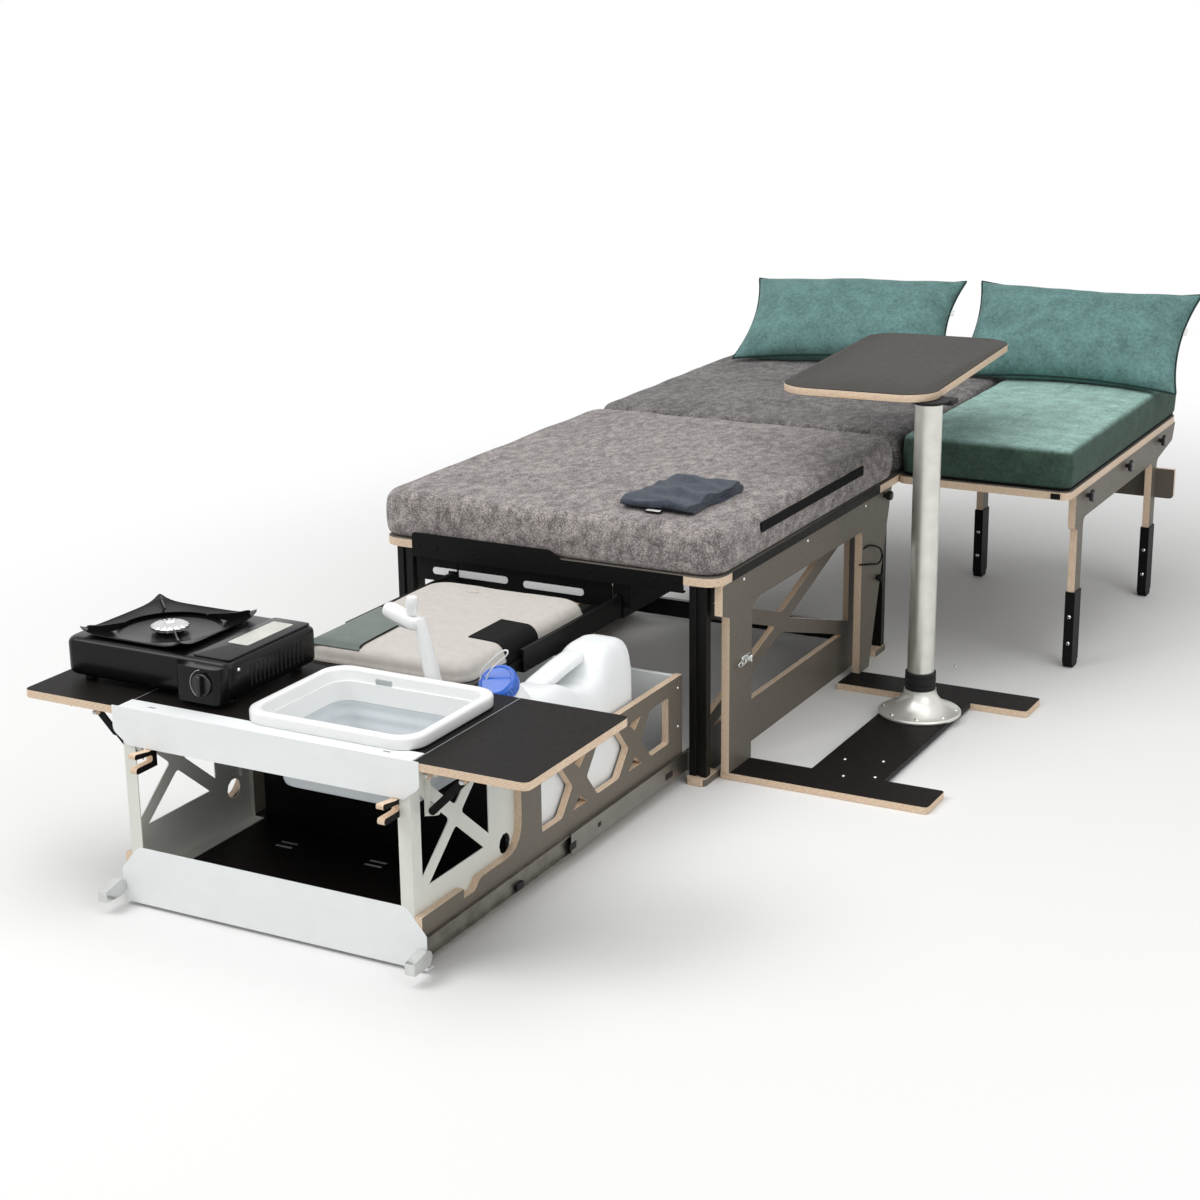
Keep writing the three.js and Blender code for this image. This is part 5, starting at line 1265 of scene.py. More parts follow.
@dataclass
class Towel:
    """A folded towel: three layers of looped cloth, turned over at front and rear, a little rumpled."""

    x: float = 224.0
    y: float = 196.0
    width: float = 165.0
    length: float = 244.0
    bed: float = 553.5
    layer: float = 7.6
    rumple: float = 3.2
    turn: float = -3.0
    fill: float = 0.5
    half_thick: float = 0.47

    def build(self, bench: Bench) -> None:
        """Makes the folded cloth and the blank tag with its border at its front edge."""
        fold = bench.piece("folded_towel", self.cloth(), "box", TOWELLING, 70, finer=1,
                           stands_for=["towel"])
        front = -self.length / 2
        tag = soft_block((-16, front - 8.5, self.bed + 1.4), (16, front + 4, self.bed + 4.2), 1.5, 1.0)
        rim = soft_block((-19, front - 10.5, self.bed + 0.6), (19, front + 4, self.bed + 3.2), 2.0, 1.0)
        for name, surface, finish in (("towel_tag", tag, TAG), ("towel_tag_border", rim, WEBBING)):
            bench.piece(name, surface.turned(Axis.Z, self.turn).moved(self.x, self.y), "box", finish)

    def middle_line(self) -> np.ndarray:
        """The cloth's middle line in the upright plane, from its lower end to its upper one."""
        half, step = self.length / 2, self.layer
        rear, bend = half - step / 2, step / 2
        turn = np.linspace(-math.pi / 2, math.pi / 2, 9)
        low = np.stack([np.linspace(-half + 14, rear, 26)[:-1], np.full(25, bend)], axis=1)
        back = np.stack([rear + bend * np.cos(turn), step + bend * np.sin(turn)], axis=1)
        mid = np.stack([np.linspace(rear, -rear, 30)[1:-1], np.full(28, 1.5 * step)], axis=1)
        front = np.stack([-rear - bend * np.cos(turn), 2 * step + bend * np.sin(turn)], axis=1)
        top = np.stack([np.linspace(-rear, half - 9, 30)[1:], np.full(29, 2.5 * step)], axis=1)
        return np.concatenate([low, back, mid, front, top])

    def cloth(self) -> Surface:
        """The folded line thickened to a ribbon, carried across the width and rumpled."""
        line = self.middle_line()
        ahead = unit(np.gradient(line, axis=0))
        out = np.stack([-ahead[:, 1], ahead[:, 0]], axis=1) * self.layer * self.half_thick
        section = np.concatenate([line + out, (line - out)[::-1]])
        across = np.sin(np.linspace(-math.pi / 2, math.pi / 2, 44))
        y, z = section[:, 0], section[:, 1]
        x = across[:, None] * (self.width / 2 + 3.0 * np.sin(y / 21.0) - 0.16 * z)[None, :]
        points = np.empty((len(across), len(section), 3))
        points[..., 0] = x + 2.0 * np.sin(y / 37.0)
        points[..., 1] = y + 4.0 * np.sin(x / 26.0) * (0.4 + z / (3 * self.layer))
        waves = (ripples(x, np.broadcast_to(y, x.shape), 105.0, 3)
                 + 0.55 * ripples(x + y, np.broadcast_to(y, x.shape) * 0.35, 44.0, 8))
        points[..., 2] = self.bed + z * 0.98 + self.rumple * waves * (z / (3 * self.layer)) ** 0.8
        return skin(points, around=True, ends=True).turned(Axis.Z, self.turn).moved(self.x, self.y)


@dataclass
class SideBed:
    """The side bed's board on its outer frame, brace, hanging legs and adjustable sleeves."""

    outer_face: float = 827.3
    knob_height: float = 413.0
    knob_places: tuple = (1144.0, 1482.0, 1800.0)
    corner_knob_place: tuple = (405.2, 912.0, 421.0)
    sleeves: tuple = (("front_right", 818.3, 1099.5), ("rear_right", 818.3, 1767.5),
                      ("centre_rear", 368.0, 1755.5), ("left_rear", -368.0, 1755.5))
    sleeve_front: float = 24.0
    bolt_heights: tuple = (62.0, 128.0)
    bolt_radius: float = 5.0

    def build(self, bench: Bench) -> None:
        """Dresses the boards and adds star knobs and sleeve bolts."""
        bench.dress(GREY_Z, "side_deck")
        bench.dress(SHADED_GREY_X, "side_frame_outer", "leg_centre_rear", "leg_left_rear")
        bench.dress(SHADED_GREY_Y, "rear_brace")
        bench.dress(BLACK_COAT, *(f"sleeve_{name}" for name, _, _ in self.sleeves), bevel=0.6)
        knobs = joined(self.knob(y) for y in self.knob_places)
        bench.piece("star_knobs", knobs, "box", BLACK_GLOSS, 30)
        profile = [(0, 0), (7, 0), (7, 6), (11, 8), (11, 18), (8, 20), (0, 20)]
        corner_knob = lathe(profile, self.corner_knob_place, (1, 0, 0), 24)
        bench.piece("deck_corner_knob", corner_knob, "box", BLACK_GLOSS)
        strap = soft_block((784, 990.5, 434), (806, 993.6, 447), 1.2, 0.5, Axis.Y)
        bench.piece("strap_end", strap, "box", WEBBING)
        for name, x, y in self.sleeves:
            places = [(x, y - self.sleeve_front, z) for z in self.bolt_heights]
            bolts = screw_heads(places, self.bolt_radius, (0, -1, 0))
            bench.piece(f"sleeve_bolts_{name}", bolts, f"sleeve_{name}", BRIGHT)

    def knob(self, y: float) -> Surface:
        """A five-lobed knob on a short neck: radius = r (1 + 0.12 cos 5 t)."""
        ring = lobed(50, 5, 0.12)
        rows = ((5, 0), (5, 7), (12, 8), (14, 10), (14, 15), (11, 18), (0.2, 18.5))
        knob = stacked([ring * radius for radius, _ in rows], [rise for _, rise in rows])
        return knob.laid(Axis.X).moved(self.outer_face + 0.05, y, self.knob_height)


@dataclass
class SwivelTable:
    """The pedestal table: base boards, cast cone, satin column with a collar, and the swivel board."""

    pedestal: tuple = (627.0, 583.0)
    base_top: float = 15.3
    cone_radius: float = 93.0
    cone_height: float = 58.0
    tube_radius: float = 30.0
    tube_top: float = 726.0
    neck_radius: float = 34.5
    board_centre: tuple = (448.0, 880.0)
    board_size: tuple = (350.0, 735.0)
    board_corner: float = 75.0
    board_low: float = 731.3
    board_thick: float = 18.0
    board_turn: float = 4.0
    board_edge: float = 1.2
    bolt_circle: float = 79.5
    plate_sides: tuple = (548.0, 710.0)
    screw_places: tuple = ((590, 231), (668, 254), (624, 138), (686, 160), (590, 930))

    def build(self, bench: Bench) -> None:
        """Makes the round parts afresh, with finer rounds than the fixed model's."""
        x, y = self.pedestal
        bench.dress(FILM_Z, "table_base", bevel=0.6)
        bench.piece("pedestal_cone_casting", self.cone(x, y), "box", CONE_SILVER, 50,
                    stands_for=["pedestal_cone"])
        bench.piece("cone_bolts", self.bolts(x, y, self.base_top + 8.6, 8, 6.0), "box", BRIGHT)
        bench.piece("column", self.column(x, y), "table_column", SATIN, 40, stands_for=["table_tube"])
        bench.piece("column_collar", self.collar(x, y), "table_column", RUBBER, 40)
        bench.piece("swivel_board", self.board(), "tabletop", TABLE_BOARD, 40, 1.4,
                    stands_for=["tabletop"])
        bench.piece("board_socket", self.socket(x, y), "tabletop", RUBBER, 40)
        bench.piece("board_insert", self.insert(), "tabletop", PLUG_BIRCH)
        bench.piece("base_screws", self.base_screws(), "box", BRIGHT)
        bench.piece("base_plate_edges", self.plate_edges(), "box", RUBBER)

    def cone(self, x: float, y: float) -> Surface:
        """A flared foot: its radius falls to the neck's as (1 - s)^2.1, s going from 0 to 1."""
        rise = np.linspace(0, 1, 18)
        narrow = self.neck_radius + 1.5
        radius = narrow + (self.cone_radius - 4 - self.neck_radius - 1.5) * (1 - rise) ** 2.1
        height = 7.5 + (self.cone_height - 7.5) * rise**1.15
        flare = list(zip(radius.tolist(), height.tolist()))
        foot, mouth, top = self.cone_radius, self.neck_radius - 3, self.cone_height
        flange = [(0, 0), (foot - 1, 0), (foot, 1), (foot, 5), (foot - 2, 7)]
        profile = flange + flare + [(mouth, top), (mouth, top - 6), (0, 46)]
        return lathe(profile, (x, y, self.base_top), steps=72)

    def bolts(self, x: float, y: float, z: float, count: int, head: float) -> Surface:
        """Bolt heads spaced evenly on the flange's circle."""
        turn, radius = (np.arange(count) + 0.35) * FULL_TURN / count, self.bolt_circle
        ring = np.stack([x + radius * np.cos(turn), y + radius * np.sin(turn)], axis=1)
        return screw_heads(level_ring(ring, z).tolist(), head)

    def column(self, x: float, y: float) -> Surface:
        """The tube from the cone's neck to the socket."""
        top, radius = self.tube_top, self.tube_radius
        profile = [(0, 64), (radius, 64), (radius, top - 4), (radius - 2, top - 2), (0, top - 2)]
        return lathe(profile, (x, y, 0), steps=64)

    def collar(self, x: float, y: float) -> Surface:
        """The black clamping ring above the cone, with two grooves."""
        outer = self.neck_radius
        low = self.base_top + self.cone_height + 0.3
        profile = [(self.tube_radius + 0.2, 0), (outer - 1, 0), (outer, 1), (outer, 11),
                   (outer - 1.5, 12), (outer - 1.5, 14), (outer, 15), (outer, 29), (outer - 1.5, 30),
                   (outer - 1.5, 32), (outer, 33),
                   (outer, 39), (outer - 1, 40), (self.tube_radius + 0.2, 40)]
        return lathe(profile, (x, y, low), steps=64)

    def board(self) -> Surface:
        """The swivel board: a rounded rectangle with a softened rim, turned a little."""
        x, y = self.board_centre
        width, length = self.board_size
        insets, heights = round_rims(self.board_low, self.board_low + self.board_thick,
                                     self.board_edge, 3)
        rings = [rounded_ring(x - width / 2 + i, x + width / 2 - i, y - length / 2 + i,
                              y + length / 2 - i, self.board_corner - i, 1, 20) for i in insets]
        return stacked(rings, heights).turned(Axis.Z, self.board_turn, (x, y, 0))

    def socket(self, x: float, y: float) -> Surface:
        """The black socket that takes the column, with its round flange under the board."""
        low = self.board_low
        profile = [(self.tube_radius + 0.3, -9), (32.5, -9), (33.5, -8), (33.5, -6), (35, -5),
                   (43, -4.5), (44, -4), (44, -0.4), (0, -0.4)]
        cup = lathe(profile, (x, y, low), steps=64)
        catch = soft_block((x + 6, y + 8, low - 12), (x + 50, y + 50, low - 0.6), 5, 1.5)
        return joined([cup, catch])

    def insert(self) -> Surface:
        """A thin wooden plug showing in the front edge of the board."""
        x, y = self.board_centre
        front = y - self.board_size[1] / 2
        plug = soft_block((x - 30, front - 0.5, self.board_low + 3),
                          (x + 36, front + 6, self.board_low + 7.5), 1, 0.4, Axis.Y)
        return plug.turned(Axis.Z, self.board_turn, (x, y, 0))

    def plate_edges(self) -> Surface:
        """The black long edges of the plate between the two arms."""
        return blocks(((x - 0.4, 152.4, 5.2), (x + 0.4, 689.6, 14.9), 0.2, 0.1)
                      for x in self.plate_sides)

    def base_screws(self) -> Surface:
        """Flat bright screws in the black base board."""
        return screw_heads([(x, y, self.base_top - 0.2) for x, y in self.screw_places], 4.0)


@dataclass
class KitchenDrawer:
    """The drawer with the kitchen: skirt, rail, sides, housing, worktop, wings and their brackets."""

    hook_faces: tuple = (-241.0, 284.0)
    hook_thick: float = 15.0
    counter_top: float = 385.7
    seam_x: float = 312.3
    counter_front: float = -1012.0
    counter_rear: float = -650.0
    counter_half: float = 312.0
    counter_thick: float = 15.0
    opening: tuple = (-41.0, 280.0, -967.0, -705.0)
    opening_corner: float = 26.0
    screw_radius: float = 4.2
    lower_pin_radius: float = 1.6
    slide_face: float = 321.1
    middle_face: float = 331.7
    bracket_front: float = -986.5
    upper_pin: tuple = (322, 354)
    lower_pin: tuple = (322, 284)
    wing_pins: tuple = ((392, 354), (446, 362))
    side_face: float = 321.0
    side_screw_places: tuple = ((-26, 214), (-26, 130))

    def build(self, bench: Bench) -> None:
        """Dresses the drawer's nodes and adds hooks, a black rear plate of painted shade, clips, slots,
        seams and screws.
        """
        board = Board("grey_faced_plywood", "drawer side board with its slide", Axis.X, Face.GREY,
                      (110, 103, 93), slide_from=self.slide_face * MM, middle=float(bench.shift[0]))
        bench.dress(WHITE_COAT, "kitchen_skirt", "kitchen_rail", "drawer_back", bevel=0.5)
        bench.dress(HOUSING_COAT, "kitchen_side_left", "kitchen_side_right", bevel=0.3)
        bench.dress(board, "drawer_side_left", "drawer_side_right", bevel=0.3)
        bench.dress(FILM_Z, "kitchen_floor", "wing_left", "wing_right")
        bench.piece("worktop_board", self.counter(), "kitchen", FILM_Z, bevel=0.5,
                    stands_for=["worktop"])
        bench.dress(BLACK_COAT, *[f"wing_link_{row}_{side}" for row in ("upper", "lower")
                                  for side in ("left", "right")], bevel=0.3)
        bench.dress(BRIGHT, "lever_left", "lever_right", bevel=0.3)
        bench.piece("hooks", joined(self.hook(face) for face in self.hook_faces), "kitchen", FILM_X,
                    bevel=0.4)
        # A black plate at the housing's rear, painting the shade deep inside it.
        bench.piece("housing_divider", self.rear_shade_plate(), "kitchen", BLACK_COAT)
        bench.piece("floor_slots", self.floor_slots(), "kitchen", CLIP_GREY)
        x, z = self.lower_pin
        places = [(side * x, self.bracket_front - 0.05, z) for side in (-1, 1)]
        lower_pins = screw_heads(places, self.lower_pin_radius, (0, -1, 0))
        pins = joined([self.bracket_screws((-1, 1), self.upper_pin), lower_pins])
        bench.piece("bracket_screws", pins, "kitchen", WHITE_GLOSS)
        bench.piece("side_screws", self.side_screws(), "kitchen", BRIGHT)
        stop = soft_block((321.4, -706, 33), (329.4, -680, 44), 1.5, 0.6, Axis.X)
        bench.piece("slide_stop_front", stop, "kitchen", RUBBER)
        for side, sign in (("left", -1), ("right", 1)):
            bench.piece(f"wing_seam_{side}", self.seam(sign), "kitchen", CLIP_GREY)
            screws = self.bracket_screws((sign,), *self.wing_pins)
            bench.piece(f"wing_screws_{side}", screws, f"wing_{side}", WHITE_GLOSS)
            bench.piece(f"slide_clips_{side}", self.clips(sign), f"slide_middle_{side}", RUBBER)

    def counter(self) -> Surface:
        """The worktop with the basin's opening, a little wider to the left than the fixed model's."""
        half, top = self.counter_half, self.counter_top
        low = top - self.counter_thick
        outer = rounded_ring(-half, half, self.counter_front, self.counter_rear, 0.6, 6, 10)
        opening = rounded_ring(*self.opening, self.opening_corner, 6, 10)
        rows = ((opening, low), (outer, low), (outer, top), (opening, top))
        return skin(np.stack([level_ring(*row) for row in rows]), around=True, along=True)

    def hook(self, face: float) -> Surface:
        """A flat plywood hook under the rail: two level fingers with round tips."""
        shape = outline([(-1058, 282, 5), (-1000, 282, 2), (-1000, 315, 2), (-1022, 315, 4),
                         (-1060, 321, 4.5), (-1060, 310.5, 4.5), (-1012, 305.5, 5.5),
                         (-1012, 293.5, 5), (-1058, 294, 5)])
        return prism(shape, face - self.hook_thick, face, Axis.X)

    def rear_shade_plate(self) -> Surface:
        """A black plate across the rear of the housing, behind basin and shelf: painted shade that
        darkens the deep rear of the housing.
        """
        return soft_block((-272, -652, 46.5), (272, -649.5, 370), 2, 0.4, Axis.Y)

    def clips(self, side: int) -> Surface:
        """Thin black clips on the outer web of the middle slide."""
        places = ((-499, 44, 26, 15), (-392, 49, 14, 9), (-89, 45, 34, 14))
        inner, outer = sorted((side * (self.middle_face - 0.3), side * (self.middle_face + 0.22)))
        rows = [((inner, y - wide / 2, z - high / 2), (outer, y + wide / 2, z + high / 2), 2, 0.1)
                for y, z, wide, high in places]
        return blocks(rows, Axis.X)

    def floor_slots(self) -> Surface:
        """Two pairs of short pale slots in the black floor, one behind the other."""
        places = [(x, y) for x in (-157, 46) for y in (-734, -752.5)]
        return blocks(((x - 19, y - 3.2, 46.0), (x + 19, y + 3.2, 46.5), 3, 0.2) for x, y in places)

    def bracket_screws(self, sides: tuple, *places: tuple) -> Surface:
        """Pale screw heads on the front of the brackets, at pairs of x and z on each side asked for."""
        heads = [(side * x, self.bracket_front, z) for side in sides for x, z in places]
        return screw_heads(heads, self.screw_radius, (0, -1, 0))

    def side_screws(self) -> Surface:
        """Screws near the rear end of each drawer side."""
        heads = []
        for side in (1, -1):
            places = [(side * self.side_face, y, z) for y, z in self.side_screw_places]
            heads.append(screw_heads(places, 3.6, (side, 0, 0)))
        return joined(heads)

    def seam(self, side: int) -> Surface:
        """The pale edge line where worktop and wing meet."""
        x = side * self.seam_x
        return soft_block((x - 0.5, self.counter_front + 6, self.counter_top - 1.2),
                          (x + 0.5, self.counter_rear - 4, self.counter_top + 0.25), 0.2, 0.1)


@dataclass
class FoldingBasin:
    """A folding basin: a broad white rim and wall over a bowl of soft folds."""

    centre: tuple = (117.0, -836.0)
    size: tuple = (362.0, 298.0)
    corner: float = 46.0
    rim_low: float = 388.4
    rim_top: float = 411.0
    wall_low: float = 352.0
    bottom: float = 262.0
    folds: int = 4
    fold_depth: float = 1.1
    slope: float = 22.0

    def ring(self, inset: float) -> np.ndarray:
        """The plan's ring drawn in by an inset."""
        (x, y), (width, depth) = self.centre, self.size
        return rounded_ring(x - width / 2 + inset, x + width / 2 - inset, y - depth / 2 + inset,
                            y + depth / 2 - inset, self.corner - inset * 0.3, 6, 10)

    def loop(self, section: Sequence[Point], along: bool) -> Surface:
        """Pairs of inset and height carried round the plan."""
        rows = [level_ring(self.ring(inset), height) for inset, height in section]
        return skin(np.stack(rows), around=True, along=along, ends=not along)

    def build(self, bench: Bench) -> None:
        """Makes the rim with its wall, the folding bowl, its drain and the clip on the rear wall."""
        top = self.rim_top
        rim = [(1.2, self.rim_low), (0, self.rim_low + 2), (0, top - 5), (1.4, top - 1.6), (5, top),
               (14, top), (17, top - 1.2), (18.6, top - 5), (24, self.wall_low), (27.5, self.wall_low),
               (25.0, self.rim_low), (12, self.rim_low - 0.2)]
        bench.piece("basin_rim", self.loop(rim, True), "basin", WHITE_GLOSS, 60, stands_for=["basin"])
        bench.piece("basin_bowl", self.bowl(), "basin", SILICONE, 60)
        x, y = self.centre
        plate = self.loop([(52, self.bottom + 3), (51.2, self.bottom + 4.4),
                           (52.2, self.bottom + 5.2)], False)
        bench.piece("basin_floor", plate, "basin", WHITE_GLOSS)
        profile = [(0, 0), (17, 0), (18, 1), (18, 2.5), (15, 3.2), (12, 1.6), (0, 1.6)]
        bench.piece("basin_drain", lathe(profile, (x, y, self.bottom + 5.0)), "basin", WHITE_GLOSS)
        rear = y + self.size[1] / 2
        low, high = (x - 78, rear - 22.5, top - 26), (x - 44, rear - 18.6, top - 12)
        clip = soft_block(low, high, 2, 1, Axis.Y)
        bench.piece("basin_clip", clip, "basin", CLIP_GREY)

    def bowl(self) -> Surface:
        """Folds: the wall steps in with each fold, its inset swinging by a sine of the depth."""
        depth = np.linspace(0, 1, 30)
        swing = self.fold_depth * np.sin(depth * self.folds * FULL_TURN) * (1 - depth) ** 0.3
        inset = 24.5 + self.slope * depth + swing
        height = self.wall_low + 3 - (self.wall_low + 3 - self.bottom - 4) * depth
        inner = list(zip(inset.tolist(), height.tolist())) + [(50, self.bottom + 3.2),
                                                              (60, self.bottom + 3)]
        outer = [(60, self.bottom), (48, self.bottom)] + [
            (i - 2.6, h - 1) for i, h in zip(inset[::-1].tolist(), height[::-1].tolist())]
        return self.loop(outer + inner, False)


@dataclass
class Tap:
    """The white swivel tap: leaning stem, flat oval spray head with its sieve, and a push button."""

    foot: tuple = (138.0, -665.0)
    base: float = 386.0
    head: tuple = (75.0, 512.0)
    head_size: tuple = (84.0, 36.0, 25.0)
    sieve_size: tuple = (44.0, 24.0, 3.0)
    droop: float = 19.0

    def build(self, bench: Bench) -> None:
        """Makes the tap's parts; the stem stands for the fixed model's tap."""
        x, y = self.foot
        head_x, head_z = self.head
        path = through([(x, y, self.base + 4), (x - 6, y, self.base + 32), (x - 15, y, self.base + 74),
                        (x - 23, y, self.base + 110), (x - 27, y, head_z)], 28)
        stem = carried(path, oval(31, 28, 28, 2.6), (0, 1, 0), swell=np.linspace(1.0, 0.68, 28))
        foot = lathe([(0, 0), (15.5, 0), (15.5, 5), (14.6, 8), (11, 9), (0, 9)], (x, y, self.base))
        bench.piece("tap_stem", joined([stem, foot]), "faucet", WHITE_GLOSS, 50, stands_for=["faucet"])
        head = self.tilted(self.disc(*self.head_size, 0.0, 10.0))
        bench.piece("tap_head", head, "faucet", WHITE_GLOSS, 60, finer=1)
        sieve = self.tilted(self.disc(*self.sieve_size, -13.4, 1.0))
        bench.piece("tap_sieve", sieve, "faucet", CLIP_GREY)
        button = lathe([(0, 4), (10.5, 4), (10, 18), (11, 21), (11, 33), (9, 37), (0, 37.5)],
                       (head_x + 19, y, head_z + 3), (0.08, 0, 1), 32)
        bench.piece("tap_button", button, "faucet", WHITE_GLOSS)

    def disc(self, length: float, depth: float, thick: float, rise: float, edge: float) -> Surface:
        """An oval block about the origin with round rims."""
        return soft_block((-length / 2, -depth / 2, rise - thick / 2),
                          (length / 2, depth / 2, rise + thick / 2), depth / 2 - 0.5, edge)

    def tilted(self, surface: Surface) -> Surface:
        """A part of the head, drooped to the right and set at the head's place."""
        return surface.turned(Axis.Y, self.droop).moved(self.head[0], self.foot[1], self.head[1])


@dataclass
class Stove:
    """A portable gas stove: enamel body with a drip pan, burner, pan support and control panel."""

    low: tuple = (-500.0, -932.0, 396.0)
    high: tuple = (-120.0, -660.0, 470.0)
    burner: tuple = (-357.0, -800.0)
    pan_radius: float = 104.0
    panel: tuple = (-232.0, -126.0)
    panel_front: float = -958.0
    knob: tuple = (-161.3, -958.3, 434.0)
    support: float = 234.0
    rim: float = 13.0
    pan_deep: float = 8.0
    dial_radius: float = 27.0
    petals: int = 18
    louvre_ends: tuple = (-872.0, -716.0)
    louvre_heights: tuple = (412.0, 452.0)
    finger_angles: tuple = (45, 135, 225, 315)

    def build(self, bench: Bench) -> None:
        """Makes the stove's parts; the body, knob and support stand for their nodes."""
        bench.piece("stove_shell", self.shell(), "stove", ENAMEL, 50, stands_for=["stove_body"])
        bench.piece("stove_panel", self.control_panel(), "stove", ENAMEL, 40, 1.6)
        bench.piece("stove_feet", self.feet(), "stove", RUBBER)
        bench.piece("burner_cap", self.burner_cap(), "stove", BRIGHT, 30)
        bench.piece("stove_lid", self.lid(), "stove", ENAMEL, 40, 0.8)
        bench.piece("stove_label_plate", self.plate(), "stove", SATIN)
        bench.piece("stove_dial", self.dial(), "stove", WHITE_GLOSS)
        bench.piece("stove_louvres", self.louvres(), "stove", RUBBER)
        screw = screw_heads([(self.high[0], -905, 452)], 4, (1, 0, 0))
        bench.piece("stove_screw", screw, "stove", BRIGHT)
        bench.piece("stove_turn_knob", self.turn_knob(), "stove_knob", BLACK_GLOSS, 40, 0.5,
                    stands_for=["stove_knob"])
        bench.piece("pan_rest", self.rest(), "pan_support", ENAMEL, 40, stands_for=["pan_support"])
        bench.piece("pan_fingers", self.fingers(), "pan_support", ENAMEL, 40, 0.5)

    def shell(self) -> Surface:
        """Body rings from the underside to the top, then morphed into the round drip pan."""
        (x0, y0, z0), (x1, y1, z1) = self.low, self.high
        insets, heights = round_rims(z0, z1, self.rim, 7)
        rings = [rounded_ring(x0 + i, x1 - i, y0 + i, y1 - i, 20, 12, 8) for i in insets]
        centre = np.array(self.burner)
        ways = unit(rings[-1] - centre)
        pan, deep = self.pan_radius, self.pan_deep
        for radius, drop in ((pan + 3, 0), (pan, 1.2), (pan - 2, 5), (pan - 8, deep), (44, deep)):
            rings.append(centre + ways * radius)
            heights = np.append(heights, z1 - drop)
        return stacked(rings, heights)

    def control_panel(self) -> Surface:
        """The bulged control panel at the front right."""
        x0, x1 = self.panel
        front, back = self.panel_front, self.low[1] + 4
        shape = outline([(x0, back, 0.5), (x0, front + 20, 6), (x0 + 14, front, 10),
                         (x1, front, 16), (x1, back, 0.5)])
        return prism(shape, self.low[2] + 1, self.high[2] - 6)

    def feet(self) -> Surface:
        """Four round rubber feet."""
        (x0, y0, z0), (x1, y1, _) = self.low, self.high
        return joined(lathe([(0, 0), (9, 0), (11, 2), (11, 13), (0, 13)], (x, y, z0 - 12))
                      for x in (x0 + 32, x1 - 32) for y in (y0 + 32, y1 - 32))

    def burner_cap(self) -> Surface:
        """A low round cap with petals: radius = r (1 + 0.05 cos 18 t)."""
        x, y = self.burner
        petals, plain = lobed(144, self.petals, 0.05), circle(1.0, 144)
        z = self.high[2] - self.pan_deep
        rows = ((plain, 26, 0), (plain, 30, 5), (petals, 35, 7), (petals, 35, 12), (plain, 30, 15.5),
                (plain, 12, 16), (plain, 10, 14), (plain, 0.2, 14))
        rings = [ring * radius for ring, radius, _ in rows]
        return stacked(rings, [z + rise for _, _, rise in rows]).moved(x, y)

    def lid(self) -> Surface:
        """The lid over the cartridge bay at the right of the top."""
        (_, y0, _), (x1, y1, z1) = self.low, self.high
        return soft_block((x1 - 92, y0 + 12, z1 - 1), (x1 - 8, y1 - 10, z1 + 3.2), 8, 1.6)

    def plate(self) -> Surface:
        """A blank silver plate on the lid."""
        (_, y0, _), (x1, y1, z1) = self.low, self.high
        return soft_block((x1 - 76, y0 + 96, z1 + 3.0), (x1 - 30, y1 - 34, z1 + 3.7), 4, 0.2)

    def dial(self) -> Surface:
        """A pale scale arc round the knob."""
        x, _, z = self.knob
        turn, radius = np.radians(np.linspace(100, 235, 30)), self.dial_radius
        band = np.stack([x + radius * np.cos(turn), np.full(30, self.panel_front - 0.1),
                         z + radius * np.sin(turn)], axis=1)
        return carried(band, oval(0.8, 3.6, 8), (0, 1, 0))

    def louvres(self) -> Surface:
        """Upright slots along the right side."""
        x = self.high[0]
        low, high = self.louvre_heights
        return blocks((((x - 0.5, y, low), (x + 0.6, y + 5, high), 2, 0.2)
                       for y in np.linspace(*self.louvre_ends, 13).tolist()), Axis.X)

    def turn_knob(self) -> Surface:
        """A round knob with an upright grip bar."""
        x, y, z = self.knob
        disc = lathe([(0, 0), (21, 0), (21, 4), (19.5, 6), (0, 6)], (x, y, z), (0, -1, 0), 40)
        grip = soft_block((x - 5, y - 16, z - 19), (x + 5, y - 5, z + 19), 4.5, 2.5, Axis.Y)
        return joined([disc, grip])

    def rest(self) -> Surface:
        """The pan support's plate: a square whose rim rises at the corners and dips along the sides.

        Height at the rim is 4 + 14 c^6 with c the nearness to a corner, falling to the inner round.

        Returns:
            The closed plate.
        """
        half = self.support / 2
        x, y = self.burner
        base = self.high[2] + 0.6
        ring = rounded_ring(-half, half, -half, half, 9, 24, 5)
        near = (np.abs(ring).min(axis=1) / half) ** 6
        ways = unit(ring)
        rows = []
        for share, lift in ((-0.03, 1.0), (0.02, 0.8), (0.3, 0.35), (0.8, 0.1), (1.0, 0.0)):
            plan = ring * (1 - share) + ways * 98 * share
            rise = base + 2.6 + lift * (4 + 14 * near) - 3.2 * max(share, 0)
            rows.append(np.column_stack([plan, rise]))
        under = [row - np.array([0, 0, 2.0]) for row in rows[::-1]]
        return skin(np.stack(rows + under), around=True, along=True).moved(x, y)

    def fingers(self) -> Surface:
        """Four blades that run in from the corners and carry the pan."""
        x, y = self.burner
        base = self.high[2] + 0.8
        reach = self.support / 2 * math.sqrt(2)
        corners = ((96, 13.5, 3), (60, 1.5, 6), (20, 1.5, 4), (13, 17, 2), (20, 17.5, 3),
                   (40, 15.5, 6), (94, 16.5, 3))
        shape = outline([(reach - back, rise, radius) for back, rise, radius in corners])
        blade = prism(shape, -1.5, 1.5, Axis.Y)
        return joined(blade.turned(Axis.Z, angle).moved(x, y, base) for angle in self.finger_angles)


